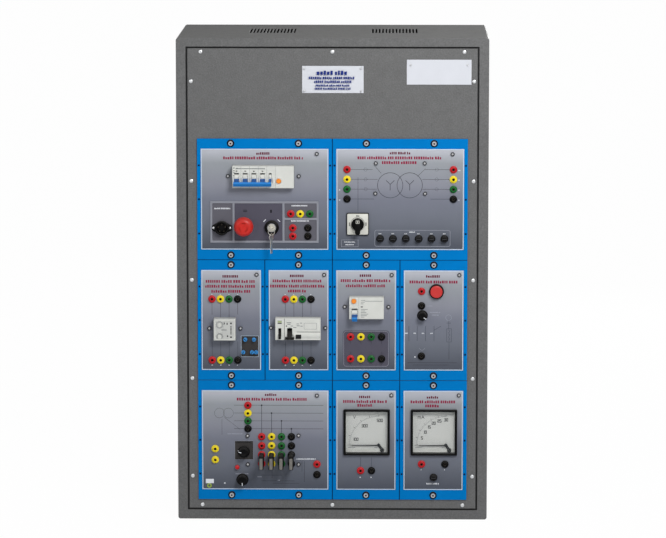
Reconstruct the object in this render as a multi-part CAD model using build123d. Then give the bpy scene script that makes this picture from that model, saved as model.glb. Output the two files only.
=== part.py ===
from build123d import *
import os
from math import cos, radians, sin

# Electrical fault trainer: a steel cabinet with nine plug-in modules on its front.
# Millimetres. X to the right, Y to the back, Z up.
# The origin is the centre of the cabinet's bottom face.

# Cabinet: folded steel sheet
CABINET_WIDTH = 640.0
CABINET_DEPTH = 350.0
CABINET_HEIGHT = 1000.0
SHEET = 1.5
CORNER_RADIUS = 5.0
RIM_SIDE = 20.0
RIM_TOP = 17.5
RIM_BOTTOM = 19.5
LEDGE = 16.0
BACK_FLANGE = 24.0
COVER_MARGIN = 6.0

# Vent slots in the cabinet's top, in two groups
VENT_GROUP_X = 127.0
VENT_COUNT = 14
VENT_PITCH = 7.0
VENT_WIDTH = 3.5
VENT_START = 135.0
VENT_LENGTH = 113.0

# Front panel, and the row windows that the modules stand in
PANEL_THICKNESS = 3.0
PANEL_RECESS = 1.0
PANEL_GAP = 3.5
WINDOW_SIDE = 14.0
WINDOW_END = 22.0

# Modules: four columns of one unit and three rows
UNIT_WIDTH = 139.0
ROW_HEIGHT = 251.0
BLOCK_BOTTOM = 41.5
SEAM = 0.8
PLATE_THICKNESS = 3.0
LABEL_THICKNESS = 0.8
LABEL_SIDE = 8.0
LABEL_END = 21.3

# Plates above the modules
TITLE_X = 1.0
TITLE_Z = 915.5
TITLE_WIDTH = 125.6
TITLE_HEIGHT = 55.4
NAME_X = 218.0
NAME_Z = 930.8
NAME_WIDTH = 132.0
NAME_HEIGHT = 51.0

# Round outlines that nothing turns in are drawn with this many sides, to keep the faces few
ROUND_SIDES = 24
FEW_SIDES = 10
HEAD_SIDES = 6

# Fasteners
CASE_SCREW_RADIUS = 4.0
CASE_SCREW_HEIGHT = 1.8
CASE_SCREW_INSET = 7.0
CASE_SCREWS_ACROSS = 3
CASE_SCREWS_UP = 5
CASE_SCREW_SPAN = 269.5
CASE_SCREW_SIDE_STEP = 205.2
COVER_SCREW_INSET = 9.0
MODULE_SCREW_RADIUS = 5.25
MODULE_SCREW_HEIGHT = 6.0
MODULE_SCREW_INSET = 10.0
BOLT_HEAD_RADIUS = 4.6
BOLT_HEAD_HEIGHT = 3.2
SPACER_RADIUS = 4.0
LABEL_HOLE_RADIUS = 4.0

# Test sockets for 4 mm plugs
SOCKET_RADIUS = 7.8
SOCKET_HEIGHT = 6.0
SOCKET_BORE_RADIUS = 2.0
SOCKET_DEPTH = 5.6
BLUE_SOCKET_RADIUS = 4.2
BLUE_SOCKET_HEIGHT = 9.0

# Devices clipped on a 35 mm rail, with a 45 mm nose
POLE_WIDTH = 17.7
NOSE_HEIGHT = 45.0
NOSE_OUT = 20.0
DEVICE_HEIGHT = 82.0
DEVICE_DEPTH = 68.0
SHOULDER_GAP = 1.0
RAIL_WIDTH = 35.0
RAIL_CROWN = 25.0
RAIL_DEPTH = 7.5
RAIL_SHEET = 1.0
RAIL_RECESS = 1.5
RAIL_OVERHANG = 6.0

# Toggles of those devices
TOGGLE_PIVOT_DEPTH = 5.0
TOGGLE_SHAFT_RADIUS = 2.5
TOGGLE_THICKNESS = 4.0
TOGGLE_REST_ANGLE = 45.0
TOGGLE_SLOT_HALF = 8.4
TOGGLE_CAVITY_HALF = 10.0
TOGGLE_CAVITY_DEPTH = 11.0
TOGGLE_FACE_WALL = 1.5
TOGGLE_SHAFT_SEAT = 2.5

# Clearances
SHAFT_CLEARANCE = 0.05
FREE_CLEARANCE = 0.3
HOLE_CLEARANCE = 0.2

# Controls that go through a 22 mm hole
BARREL_RADIUS = 11.0
BARREL_DEPTH = 28.0
BLOCK_SIZE = 30.0
BLOCK_DEPTH = 24.0
SPINDLE_RADIUS = 3.0
SPINDLE_DEPTH = 9.0
STEM_RADIUS = 8.0

# Levels along the depth of the cabinet
FRONT_Y = -CABINET_DEPTH / 2
PANEL_FACE = FRONT_Y + PANEL_RECESS
PANEL_BACK = PANEL_FACE + PANEL_THICKNESS
PLATE_FACE = PANEL_FACE - PLATE_THICKNESS
LABEL_FACE = PLATE_FACE - LABEL_THICKNESS

# Heights are counted outwards from the face of the module labels
LABEL_LOW = -LABEL_THICKNESS
PLATE_LOW = LABEL_LOW - PLATE_THICKNESS
SHOULDER_LEVEL = PLATE_LOW - SHOULDER_GAP
RAIL_LEVEL = NOSE_OUT - DEVICE_DEPTH

# Each module: first column, number of units and row from the top
MODULES = {
    "supply": (0, 2, 0),
    "transformer": (2, 2, 0),
    "relay": (0, 1, 1),
    "recloser": (1, 1, 1),
    "rcd": (2, 1, 1),
    "fault": (3, 1, 1),
    "toroid": (0, 2, 2),
    "voltmeter": (2, 1, 2),
    "ammeter": (3, 1, 2),
}
COLUMNS = 4
ROWS = 3

# Places on the modules: right and up from the module's centre
BREAKER_AT = (-2.5, 48.0)
BREAKER_WIDTH = 126.0
BREAKER_POLES = 4
BREAKER_LINK_AT = 77.7
BREAKER_BUTTON_AT = (29.4, 40.0)
FRAME_AT = (-0.5, -47.0)
FRAME_SIZE = (223.0, 86.0)
FRAME_BORDER = 4.6
FRAME_HEIGHT = 2.0
FRAME_POSTS = (-63.5, 39.0)
FRAME_SHELF = -40.4
INLET_AT = (-88.0, -59.0)
ESTOP_AT = (-42.5, -54.0)
KEY_AT = (14.5, -58.0)
SUPPLY_PHASES_AT = (53.4, -29.8)
SUPPLY_PHASE_PITCH = 19.6
SUPPLY_LOW_X = (57.7, 88.6)
SUPPLY_LOW_Z = (-59.0, -76.0)

TRANSFORMER_SOCKET_X = 109.0
TRANSFORMER_SOCKET_TOP = 62.0
TRANSFORMER_SOCKET_PITCH = 20.3
CAM_AT = (-87.0, -50.4)
FUSE_FIRST = (-41.0, -80.8)
FUSE_PITCH = 26.4
FUSE_COUNT = 6
TRANSFORMER_BOLTS = ((-50.0, 75.0), (50.0, 75.0), (-51.0, 12.5), (51.0, 12.5))

SINGLE_SOCKET_PITCH = 17.6
SINGLE_SOCKET_ROWS = (44.0, -83.3)
RELAY_SOCKET_FIRST = -39.5
RECLOSER_SOCKET_FIRST = -27.4
RELAY_AT = (-13.0, -17.0)
RELAY_WIDTH = 45.0
RELAY_DIALS = ((-23.3, -7.0), (-23.3, -31.0))
RELAY_DIAL_RADIUS = 4.5
BLUE_SOCKETS = ((29.0, -40.0), (46.8, -40.0), (24.7, -66.5), (42.7, -66.5), (51.2, -66.5))
RECLOSER_AT = (-1.0, -15.5)
RECLOSER_WIDTH = 93.0
RECLOSER_LEVER_AT = (-38.3, -22.0)
RECLOSER_TOGGLE_AT = (-18.0, -22.0)

RCD_AT = (1.0, 28.5)
RCD_WIDTH = 71.0
RCD_TOGGLE_AT = (-23.5, 19.0)
RCD_BUTTON_AT = (-25.0, 43.0)
RCD_SOCKET_FIRST = -32.0
RCD_SOCKET_PITCH = 21.3
RCD_SOCKET_ROWS = (-34.0, -80.0)

FAULT_BUTTON_AT = (5.6, 61.0)
FAULT_KNOB_AT = (-23.0, 11.0)
FAULT_RED_AT = (-25.0, 61.0)
FAULT_BLACK_AT = ((-25.0, 31.0), (-25.0, -74.0))

TOROID_COLUMN_AT = (-35.7, 73.0)
TOROID_COLUMN_PITCH = 16.4
MATRIX_AT = (-7.3, 7.2)
MATRIX_PITCH_X = 20.5
MATRIX_PITCH_Z = 19.0
TOROID_YELLOW_AT = ((-103.7, -18.5), (-103.7, -41.5))
TOROID_RED_AT = (107.0, -50.4)
TOROID_BLACK_AT = (107.0, -72.4)
SENSITIVITY_KNOB_AT = (-44.5, -24.5)
DELAY_KNOB_AT = (-47.3, -83.0)
LED_AT = (-58.0, -57.0)
TOROID_BOLTS = ((-36.5, 9.0), (-36.0, -51.0), (69.0, 9.8), (69.0, -51.0))

METER_AT = (1.4, 17.3)
METER_SIZE = 96.0
METER_PIVOT = (25.2, -28.4)
VOLTMETER_RED_AT = (-11.2, -63.7)
VOLTMETER_BLACK_AT = (11.4, -63.7)
AMMETER_RED_AT = (-24.0, -49.7)
AMMETER_BLACK_AT = (24.4, -49.7)
AMMETER_FUSE_AT = (1.0, -77.5)

# A stud stands at the top right of each label
CORNER_STUD_SINGLE = (52.5, 95.0)
CORNER_STUD_DOUBLE = (107.0, 94.0)

# Sizes of the single controls
TOGGLE_WIDTH = 9.2
TOGGLE_REACH = 19.5
TIE_BAR_HEIGHT = 8.3
TIE_BAR_DEPTH = 5.0
LINK_WIDTH = 5.0
BREAKER_BUTTON_RADIUS = 5.0
RCD_BUTTON_RADIUS = 5.0
BUTTON_TRAVEL = 2.5
RCD_TOGGLE_WIDTH = 11.0
RCD_TOGGLE_REACH = 18.0
RCD_TIP_HEIGHT = 9.0
RECLOSER_LEVER_WIDTH = 5.5
RECLOSER_LEVER_REACH = 17.0
RECLOSER_TOGGLE_WIDTH = 10.0
RECLOSER_TOGGLE_REACH = 16.0
RECLOSER_GRIP_WIDTH = 18.5
ROLL_RADIUS = 9.5
ROLL_START = -10.0
ROLL_OUT = 2.5
DIAL_POCKET = 1.5
DIAL_RAISE = 1.0
DIAL_SLOT = 1.2
DIAL_STEM_RADIUS = 2.0
DIAL_STEM_DEPTH = 8.0

ESTOP_COLLAR_RADIUS = 15.0
ESTOP_COLLAR_HEIGHT = 9.0
ESTOP_TRAVEL = 5.0
ESTOP_HEAD_RADIUS = 20.0
ESTOP_HEAD_LOW = 15.0
ESTOP_HEAD_HEIGHT = 20.0
ESTOP_UNDERCUT = 3.0
ESTOP_RIM_LOW = 4.0
ESTOP_RIM_HIGH = 11.0
ESTOP_CROWN = 6.0
ESTOP_SPIGOT_RADIUS = 4.0
ESTOP_SPIGOT_HEIGHT = 10.0
STEM_BOTTOM = -18.0

KEY_COLLAR_RADIUS = 14.8
KEY_COLLAR_HEIGHT = 8.0
KEY_CYLINDER_HEIGHT = 2.0
KEY_SPINDLE_RADIUS = 4.5
KEY_SPINDLE_DEPTH = 17.0
KEY_THICKNESS = 1.2
KEY_BLADE_WIDTH = 7.0
KEY_BLADE_DEPTH = 14.0
KEY_BOW_RADIUS = 8.5
KEY_BOW_CENTRE = 18.5
KEY_HOLE_OFFSET = 5.0
KEY_HOLE_RADIUS = 2.1
KEY_HOLE_LEVEL = KEY_BOW_CENTRE + KEY_HOLE_OFFSET
KEY_REST_TURN = 45.0
KEY_SLOT_CLEARANCE = 0.1
RING_RADIUS = 6.5
RING_THICKNESS = 1.2
SPARE_BLADE_LENGTH = 20.0
SPARE_BLADE_WIDTH = 6.0
SPARE_TURN = 35.0
SPARE_BOW_RADIUS = 7.5
SPARE_HOLE_INSET = 3.5

CAM_PLATE_SIZE = 46.0
CAM_PLATE_HEIGHT = 6.0
CAM_PLATE_CORNER = 5.0
CAM_BOSS_HEIGHT = 8.0
CAM_BOSS_RADIUS = 12.0
CAM_HANDLE_RADIUS = 13.0
CAM_DISC_HEIGHT = 5.0
CAM_GRIP_WIDTH = 11.0
CAM_GRIP_HEIGHT = 15.0
CAM_GRIP_LENGTH = 28.0
CAM_GRIP_HUB_RADIUS = 7.0
CAM_NECK_RADIUS = 8.0
CAM_BLOCK_SIZE = 44.0
CAM_BLOCK_DEPTH = 46.0

FUSE_BODY_RADIUS = 8.0
FUSE_BODY_HEIGHT = 3.0
FUSE_CAP_RADIUS = 6.8
FUSE_CAP_HEIGHT = 8.5
FUSE_CAP_SLOT = 1.4
FUSE_SLOT_DEPTH = 2.0
FUSE_POST_RADIUS = 2.5
FUSE_POST_HEIGHT = 6.0

INLET_FLANGE_REACH = 23.0
INLET_FLANGE_END = 4.6
INLET_FLANGE_TURN = -45.0
INLET_FLANGE_HEIGHT = 2.5
INLET_COLLAR_RADIUS = 14.5
INLET_COLLAR_HEIGHT = 12.0
INLET_RECESS_RADIUS = 11.5
INLET_RECESS_DEPTH = 11.0
INLET_PIN_CIRCLE = 7.5
INLET_PIN_RADIUS = 1.4
INLET_PIN_HEIGHT = 8.0
INLET_PINS = 5
INLET_REAR_RADIUS = 13.2
INLET_REAR_DEPTH = 22.0

BEZEL_RADIUS = 15.3
BEZEL_HEIGHT = 8.0
FAULT_BUTTON_RADIUS = 12.6
FAULT_BUTTON_HEIGHT = 11.5
FAULT_BUTTON_TRAVEL = 3.0
FAULT_BUTTON_FLOOR = 2.0
FAULT_KNOB_BEARING = 130.0

SMALL_KNOB_RADIUS = 11.0
LARGE_KNOB_RADIUS = 12.5
KNOB_SKIRT_HEIGHT = 4.0
KNOB_HEIGHT = 18.0
KNOB_SKIRT_STEP = 2.2
KNOB_RIB_WIDTH = 2.6
KNOB_RIB_RAISE = 0.8
SENSITIVITY_KNOB_BEARING = -80.0
DELAY_KNOB_BEARING = 180.0
LED_RADIUS = 4.8
LED_HEIGHT = 7.0

PLUG_WIDTH = 10.0
PLUG_HEIGHT = 30.0
PLUG_OUT = 45.0
PLUG_PIN_LENGTH = 5.2
PLUG_WAIST = 1.5
PLUG_GAP = 0.5
PLUG_COUNT = 4

METER_BEZEL_HEIGHT = 7.0
METER_BEZEL_WALL = 4.5
METER_HOUSING = 90.0
METER_HOUSING_DEPTH = 50.0
METER_DIAL_LEVEL = -6.0
METER_DIAL_THICKNESS = 1.0
METER_WINDOW_THICKNESS = 1.5
METER_WINDOW_LEVEL = 4.0
POINTER_LENGTH = 57.0
POINTER_WIDTH = 1.2
POINTER_THICKNESS = 0.8
POINTER_LEVEL = -3.2
POINTER_HUB_RADIUS = 3.2
PIVOT_PIN_RADIUS = 1.0

CORE_WIDTH = 240.0
CORE_HEIGHT = 180.0
CORE_DEPTH = 60.0
CORE_LIMB = 40.0
COIL_WALL = 16.0
CORE_Y = 30.0
CORE_FOOT = 12.0
COIL_GAP = 2.0
METERS = ("voltmeter", "ammeter")


def block(x0, x1, y0, y1, z0, z1):
    """A box between two corners."""
    centre = Pos((x0 + x1) / 2, (y0 + y1) / 2, (z0 + z1) / 2)
    return centre * Box(x1 - x0, y1 - y0, z1 - z0)


def module_centre(name):
    """Centre of a module, as X and Z."""
    column, units, row = MODULES[name]
    x = (column + units / 2 - COLUMNS / 2) * UNIT_WIDTH
    z = BLOCK_BOTTOM + (ROWS - row - 0.5) * ROW_HEIGHT
    return x, z


def module_size(name):
    """Width and height of a module's plate."""
    return MODULES[name][1] * UNIT_WIDTH - SEAM, ROW_HEIGHT - SEAM


def spot(module, place):
    """X and Z of a place given from the module's centre."""
    x, z = module_centre(module)
    return x + place[0], z + place[1]


def front(x, z, level):
    """Plane at a height over the labels: right, up and outwards."""
    return Plane(origin=(x, LABEL_FACE - level, z), x_dir=(1, 0, 0), z_dir=(0, -1, 0))


def disc(at, radius, low, high):
    """True round piece between two heights, for what turns or is measured."""
    return extrude(front(*at, low) * Circle(radius), amount=high - low)


def drum(at, radius, low, high, sides=ROUND_SIDES):
    """Many-sided round piece between two heights."""
    return extrude(front(*at, low) * RegularPolygon(radius, sides), amount=high - low)


def turned_drum(at, stations):
    """Many-sided turned piece through radii at given heights."""
    sections = [front(*at, level) * RegularPolygon(radius, ROUND_SIDES)
                for radius, level in stations]
    return loft(sections, ruled=True)


def slab(at, width, height, low, high):
    """Box between two heights, centred on a place."""
    x, z = at
    y_out, y_in = LABEL_FACE - high, LABEL_FACE - low
    return block(x - width / 2, x + width / 2, y_out, y_in, z - height / 2, z + height / 2)


def rounded_slab(at, width, height, radius, low, high):
    """Box with round corners between two heights."""
    sketch = front(*at, low) * RectangleRounded(width, height, radius)
    return extrude(sketch, amount=high - low)


def ring(width, height, wall, y0, y1, z_centre):
    """Rectangular frame whose inside is width by height."""
    outer = block(-width / 2 - wall, width / 2 + wall, y0, y1,
                  z_centre - height / 2 - wall, z_centre + height / 2 + wall)
    inner = block(-width / 2, width / 2, y0, y1, z_centre - height / 2, z_centre + height / 2)
    return outer - inner


def along_x(points, x0, x1):
    """Section given as height and Z, run from x0 to x1."""
    outline = Polygon(*[(LABEL_FACE - h, z) for h, z in points], align=None)
    return extrude(Plane.YZ.offset(x0) * outline, amount=x1 - x0, dir=(1, 0, 0))


def rod_x(x0, x1, height, z, radius):
    """Round rod along X."""
    start = Plane(origin=(x0, LABEL_FACE - height, z), z_dir=(1, 0, 0))
    return extrude(start * Circle(radius), amount=x1 - x0)


# Cabinet

PANEL_OPENING_WIDTH = CABINET_WIDTH - 2 * RIM_SIDE
PANEL_OPENING_HEIGHT = CABINET_HEIGHT - RIM_TOP - RIM_BOTTOM
PANEL_CENTRE_Z = RIM_BOTTOM + PANEL_OPENING_HEIGHT / 2
PANEL_WIDTH = PANEL_OPENING_WIDTH - 2 * PANEL_GAP
PANEL_HEIGHT = PANEL_OPENING_HEIGHT - 2 * PANEL_GAP


def vent_slots():
    """Slots that run from front to back in the top sheet."""
    start = FRONT_Y + VENT_START
    slots = []
    for side in (-1, 1):
        for i in range(VENT_COUNT):
            x = side * VENT_GROUP_X + (i - (VENT_COUNT - 1) / 2) * VENT_PITCH
            slots.append(block(x - VENT_WIDTH / 2, x + VENT_WIDTH / 2, start, start + VENT_LENGTH,
                               CABINET_HEIGHT - 2 * SHEET, CABINET_HEIGHT + SHEET))
    return slots


def cabinet_shell():
    """Wrap of folded sheet with a front rim, a ledge for the panel and a back flange."""
    half, back = CABINET_WIDTH / 2, CABINET_DEPTH / 2
    outer = block(-half, half, FRONT_Y, back, 0, CABINET_HEIGHT)
    outer = fillet(outer.edges().filter_by(Axis.Y), CORNER_RADIUS)
    inner = block(-half + SHEET, half - SHEET, FRONT_Y + SHEET, back - SHEET,
                  SHEET, CABINET_HEIGHT - SHEET)
    inner = fillet(inner.edges().filter_by(Axis.Y), CORNER_RADIUS - SHEET)
    shell = outer - inner
    shell -= block(-PANEL_OPENING_WIDTH / 2, PANEL_OPENING_WIDTH / 2, FRONT_Y, FRONT_Y + SHEET,
                   RIM_BOTTOM, CABINET_HEIGHT - RIM_TOP)
    shell -= block(-half + BACK_FLANGE, half - BACK_FLANGE, back - SHEET, back,
                   BACK_FLANGE, CABINET_HEIGHT - BACK_FLANGE)
    shell += ring(PANEL_OPENING_WIDTH, PANEL_OPENING_HEIGHT, SHEET,
                  FRONT_Y, PANEL_BACK + SHEET, PANEL_CENTRE_Z)
    shell += ring(PANEL_OPENING_WIDTH - 2 * LEDGE, PANEL_OPENING_HEIGHT - 2 * LEDGE, LEDGE + SHEET,
                  PANEL_BACK, PANEL_BACK + SHEET, PANEL_CENTRE_Z)
    return shell - vent_slots()


def rear_cover():
    """Flat sheet that closes the back."""
    half = CABINET_WIDTH / 2 - COVER_MARGIN
    back = CABINET_DEPTH / 2
    cover = block(-half, half, back, back + SHEET, COVER_MARGIN, CABINET_HEIGHT - COVER_MARGIN)
    return fillet(cover.edges().filter_by(Axis.Y), CORNER_RADIUS)


def front_panel():
    """Sheet with a window for each row of modules."""
    z0 = PANEL_CENTRE_Z - PANEL_HEIGHT / 2
    panel = block(-PANEL_WIDTH / 2, PANEL_WIDTH / 2, PANEL_FACE, PANEL_BACK, z0, z0 + PANEL_HEIGHT)
    half = COLUMNS * UNIT_WIDTH / 2 - WINDOW_SIDE
    for row in range(ROWS):
        low = BLOCK_BOTTOM + row * ROW_HEIGHT + WINDOW_END
        high = low + ROW_HEIGHT - 2 * WINDOW_END
        panel -= block(-half, half, PANEL_FACE, PANEL_BACK, low, high)
    return panel


def case_screw_places():
    """Places of the screws round the front panel."""
    z_mid = PANEL_CENTRE_Z
    low, high = z_mid - PANEL_HEIGHT / 2, z_mid + PANEL_HEIGHT / 2
    edge = PANEL_WIDTH / 2 - CASE_SCREW_INSET
    places = []
    for i in range(CASE_SCREWS_ACROSS):
        x = (i - (CASE_SCREWS_ACROSS - 1) / 2) * CASE_SCREW_SPAN
        places += [(x, low + CASE_SCREW_INSET), (x, high - CASE_SCREW_INSET)]
    for i in range(CASE_SCREWS_UP):
        z = z_mid + (i - (CASE_SCREWS_UP - 1) / 2) * CASE_SCREW_SIDE_STEP
        places += [(-edge, z), (edge, z)]
    return places


def case_screws():
    """Screws of the front panel and of the rear cover."""
    low = LABEL_FACE - PANEL_FACE
    heads = [drum(at, CASE_SCREW_RADIUS, low, low + CASE_SCREW_HEIGHT, HEAD_SIDES)
             for at in case_screw_places()]
    level = LABEL_FACE - CABINET_DEPTH / 2 - SHEET
    half = CABINET_WIDTH / 2 - COVER_MARGIN - COVER_SCREW_INSET
    low_z = COVER_MARGIN + COVER_SCREW_INSET
    for x in (-half, half):
        for i in range(4):
            z = low_z + i * (CABINET_HEIGHT - 2 * low_z) / 3
            heads.append(drum((x, z), CASE_SCREW_RADIUS, level - CASE_SCREW_HEIGHT, level,
                              HEAD_SIDES))
    return heads


# Module plates and labels

def device_openings(module, spindle_hole):
    """Solids that cut a module's plate or label where a device comes through."""
    nose = NOSE_HEIGHT + 2 * FREE_CLEARANCE
    housing = METER_HOUSING + 2 * FREE_CLEARANCE

    def window(place, width, height=nose):
        width += 2 * FREE_CLEARANCE
        return slab(spot(module, place), width, height, PLATE_LOW, 0)

    def hole(place, radius=BARREL_RADIUS):
        return drum(spot(module, place), radius + HOLE_CLEARANCE, PLATE_LOW, 0)

    def spindle(place):
        return spindle_hole(spot(module, place))

    cuts = {
        "supply": lambda: [window(BREAKER_AT, BREAKER_WIDTH), hole(INLET_AT, INLET_REAR_RADIUS),
                           hole(ESTOP_AT), hole(KEY_AT)],
        "transformer": lambda: [hole(CAM_AT, CAM_NECK_RADIUS)],
        "relay": lambda: [window(RELAY_AT, RELAY_WIDTH)],
        "recloser": lambda: [window(RECLOSER_AT, RECLOSER_WIDTH)],
        "rcd": lambda: [window(RCD_AT, RCD_WIDTH)],
        "fault": lambda: [hole(FAULT_BUTTON_AT), spindle(FAULT_KNOB_AT)],
        "toroid": lambda: [spindle(SENSITIVITY_KNOB_AT), spindle(DELAY_KNOB_AT)],
        "voltmeter": lambda: [window(METER_AT, METER_HOUSING, housing)],
        "ammeter": lambda: [window(METER_AT, METER_HOUSING, housing)],
    }
    return cuts[module]()


def spindle_bore(at):
    """Bore that a knob's spindle turns in."""
    return disc(at, SPINDLE_RADIUS + SHAFT_CLEARANCE, PLATE_LOW, LABEL_LOW)


def label_hole(at):
    """Wider hole for a spindle in a label."""
    return drum(at, LABEL_HOLE_RADIUS, LABEL_LOW, 0, FEW_SIDES)


def module_plates():
    """The blue plate of each module."""
    plates = []
    for name in MODULES:
        plate = slab(module_centre(name), *module_size(name), PLATE_LOW, LABEL_LOW)
        plates.append(plate - device_openings(name, spindle_bore))
    return plates


def label_plates():
    """The grey label of each module, and the two plates above the modules."""
    plates = []
    for name in MODULES:
        width, height = module_size(name)
        label = slab(module_centre(name), width + SEAM - 2 * LABEL_SIDE,
                     height + SEAM - 2 * LABEL_END, LABEL_LOW, 0)
        plates.append(label - device_openings(name, label_hole))
    low = LABEL_FACE - PANEL_FACE
    plates.append(slab((TITLE_X, TITLE_Z), TITLE_WIDTH, TITLE_HEIGHT, low, low + LABEL_THICKNESS))
    plates.append(slab((NAME_X, NAME_Z), NAME_WIDTH, NAME_HEIGHT, low, low + LABEL_THICKNESS))
    return plates


def module_screw_places():
    """One screw at the top and the bottom of each unit of each row."""
    places = []
    for row in range(ROWS):
        for column in range(COLUMNS):
            x = (column + 0.5 - COLUMNS / 2) * UNIT_WIDTH
            low = BLOCK_BOTTOM + row * ROW_HEIGHT
            places += [(x, low + MODULE_SCREW_INSET), (x, low + ROW_HEIGHT - MODULE_SCREW_INSET)]
    return places


def module_screws():
    """Cap screws that hold the modules."""
    top = LABEL_LOW + MODULE_SCREW_HEIGHT
    return [drum(at, MODULE_SCREW_RADIUS, LABEL_LOW, top, HEAD_SIDES)
            for at in module_screw_places()]


# Sockets

def row_of(module, first, pitch, z, count):
    """Places in a row to the right."""
    return [spot(module, (first + i * pitch, z)) for i in range(count)]


def column_of(module, x, top, pitch, count):
    """Places in a column downwards."""
    return [spot(module, (x, top - i * pitch)) for i in range(count)]


def socket_places():
    """Socket places by colour."""
    places = {"red": [], "yellow": [], "green": [], "black": []}
    phases = ["red", "yellow", "green", "black"]

    def share(spots, colours=phases):
        for colour, at in zip(colours, spots):
            places[colour].append(at)

    share(row_of("supply", SUPPLY_PHASES_AT[0], SUPPLY_PHASE_PITCH, SUPPLY_PHASES_AT[1], 3))
    for z in SUPPLY_LOW_Z:
        share([spot("supply", (x, z)) for x in SUPPLY_LOW_X], ["red", "black"])
    for x in (-TRANSFORMER_SOCKET_X, TRANSFORMER_SOCKET_X):
        share(column_of("transformer", x, TRANSFORMER_SOCKET_TOP, TRANSFORMER_SOCKET_PITCH, 4))
    for z in SINGLE_SOCKET_ROWS:
        share(row_of("relay", RELAY_SOCKET_FIRST, SINGLE_SOCKET_PITCH, z, 4))
        share(row_of("recloser", RECLOSER_SOCKET_FIRST, SINGLE_SOCKET_PITCH, z, 4))
    for z in RCD_SOCKET_ROWS:
        share(row_of("rcd", RCD_SOCKET_FIRST, RCD_SOCKET_PITCH, z, 4))
    places["red"].append(spot("fault", FAULT_RED_AT))
    places["black"] += [spot("fault", place) for place in FAULT_BLACK_AT]
    share(column_of("toroid", *TOROID_COLUMN_AT, TOROID_COLUMN_PITCH, 4))
    for i in range(4):
        share(row_of("toroid", MATRIX_AT[0], MATRIX_PITCH_X, MATRIX_AT[1] - i * MATRIX_PITCH_Z, 4))
    places["yellow"] += [spot("toroid", place) for place in TOROID_YELLOW_AT]
    places["red"].append(spot("toroid", TOROID_RED_AT))
    places["black"].append(spot("toroid", TOROID_BLACK_AT))
    places["red"] += [spot("voltmeter", VOLTMETER_RED_AT), spot("ammeter", AMMETER_RED_AT)]
    places["black"] += [spot("voltmeter", VOLTMETER_BLACK_AT), spot("ammeter", AMMETER_BLACK_AT)]
    return places


def corner_sockets():
    """Corner sockets of four groups, the ones with truly round bores."""
    def corners(module, xs, zs):
        return {rounded(spot(module, (x, z))) for x in xs for z in zs}

    column = TRANSFORMER_SOCKET_TOP, TRANSFORMER_SOCKET_TOP - 3 * TRANSFORMER_SOCKET_PITCH
    return (corners("supply", SUPPLY_LOW_X, SUPPLY_LOW_Z)
            | corners("transformer", (-TRANSFORMER_SOCKET_X, TRANSFORMER_SOCKET_X), column)
            | corners("rcd", (RCD_SOCKET_FIRST, RCD_SOCKET_FIRST + 3 * RCD_SOCKET_PITCH),
                      RCD_SOCKET_ROWS)
            | corners("toroid", (MATRIX_AT[0], MATRIX_AT[0] + 3 * MATRIX_PITCH_X),
                      (MATRIX_AT[1], MATRIX_AT[1] - MATRIX_PITCH_Z)))


def rounded(at):
    """A place to the nearest micron, to compare places."""
    return round(at[0], 3), round(at[1], 3)


def socket(at):
    """Flanged socket, with a round bore or a many-sided one."""
    body = drum(at, SOCKET_RADIUS, 0, SOCKET_HEIGHT, FEW_SIDES)
    floor = SOCKET_HEIGHT - SOCKET_DEPTH
    if rounded(at) in corner_sockets():
        return body - disc(at, SOCKET_BORE_RADIUS, floor, SOCKET_HEIGHT)
    return body - drum(at, SOCKET_BORE_RADIUS, floor, SOCKET_HEIGHT, FEW_SIDES)


def blue_sockets():
    """Small blue terminals of the relay."""
    return [drum(spot("relay", place), BLUE_SOCKET_RADIUS, 0, BLUE_SOCKET_HEIGHT, FEW_SIDES)
            for place in BLUE_SOCKETS]


# Devices on a rail

def device(module, place, width):
    """Device body: nose, shoulders and a recess for the rail."""
    x, z = spot(module, place)
    nose, body, seat = NOSE_HEIGHT / 2, DEVICE_HEIGHT / 2, RAIL_WIDTH / 2 + HOLE_CLEARANCE
    points = [(NOSE_OUT, nose), (SHOULDER_LEVEL, nose), (SHOULDER_LEVEL, body),
              (RAIL_LEVEL, body), (RAIL_LEVEL, seat), (RAIL_LEVEL + RAIL_RECESS, seat)]
    outline = [(h, z + dz) for h, dz in points]
    outline += [(h, z - dz) for h, dz in reversed(points)]
    return along_x(outline, x - width / 2, x + width / 2)


def toggle_space(x0, x1, z, openings):
    """Hollow behind the nose for toggles on one shaft, with a slot for each toggle."""
    low, high = NOSE_OUT - TOGGLE_CAVITY_DEPTH, NOSE_OUT - TOGGLE_FACE_WALL
    y_out, y_in = LABEL_FACE - high, LABEL_FACE - low
    cuts = [block(x0, x1, y_out, y_in, z - TOGGLE_CAVITY_HALF, z + TOGGLE_CAVITY_HALF)]
    cuts.append(rod_x(x0 - TOGGLE_SHAFT_SEAT, x1 + TOGGLE_SHAFT_SEAT, NOSE_OUT - TOGGLE_PIVOT_DEPTH,
                      z, TOGGLE_SHAFT_RADIUS + SHAFT_CLEARANCE))
    for x, width in openings:
        cuts.append(slab((x, z), width + 2 * FREE_CLEARANCE, 2 * TOGGLE_SLOT_HALF,
                         low, NOSE_OUT))
    return cuts


def lever(width, reach):
    """Straight lever that reaches out from its shaft."""
    return Pos(0, -reach / 2, 0) * Box(width, reach, TOGGLE_THICKNESS)


def turned(x, z, piece):
    """Piece of a toggle set on its pivot and turned down to the rest angle."""
    pivot = Pos(x, LABEL_FACE - NOSE_OUT + TOGGLE_PIVOT_DEPTH, z)
    return pivot * Rot(TOGGLE_REST_ANGLE, 0, 0) * piece


def toggle_shaft(x0, x1, z):
    """Shaft of a toggle, seated in both end walls."""
    reach = TOGGLE_SHAFT_SEAT - FREE_CLEARANCE
    return rod_x(x0 - reach, x1 + reach, NOSE_OUT - TOGGLE_PIVOT_DEPTH, z, TOGGLE_SHAFT_RADIUS)


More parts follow.
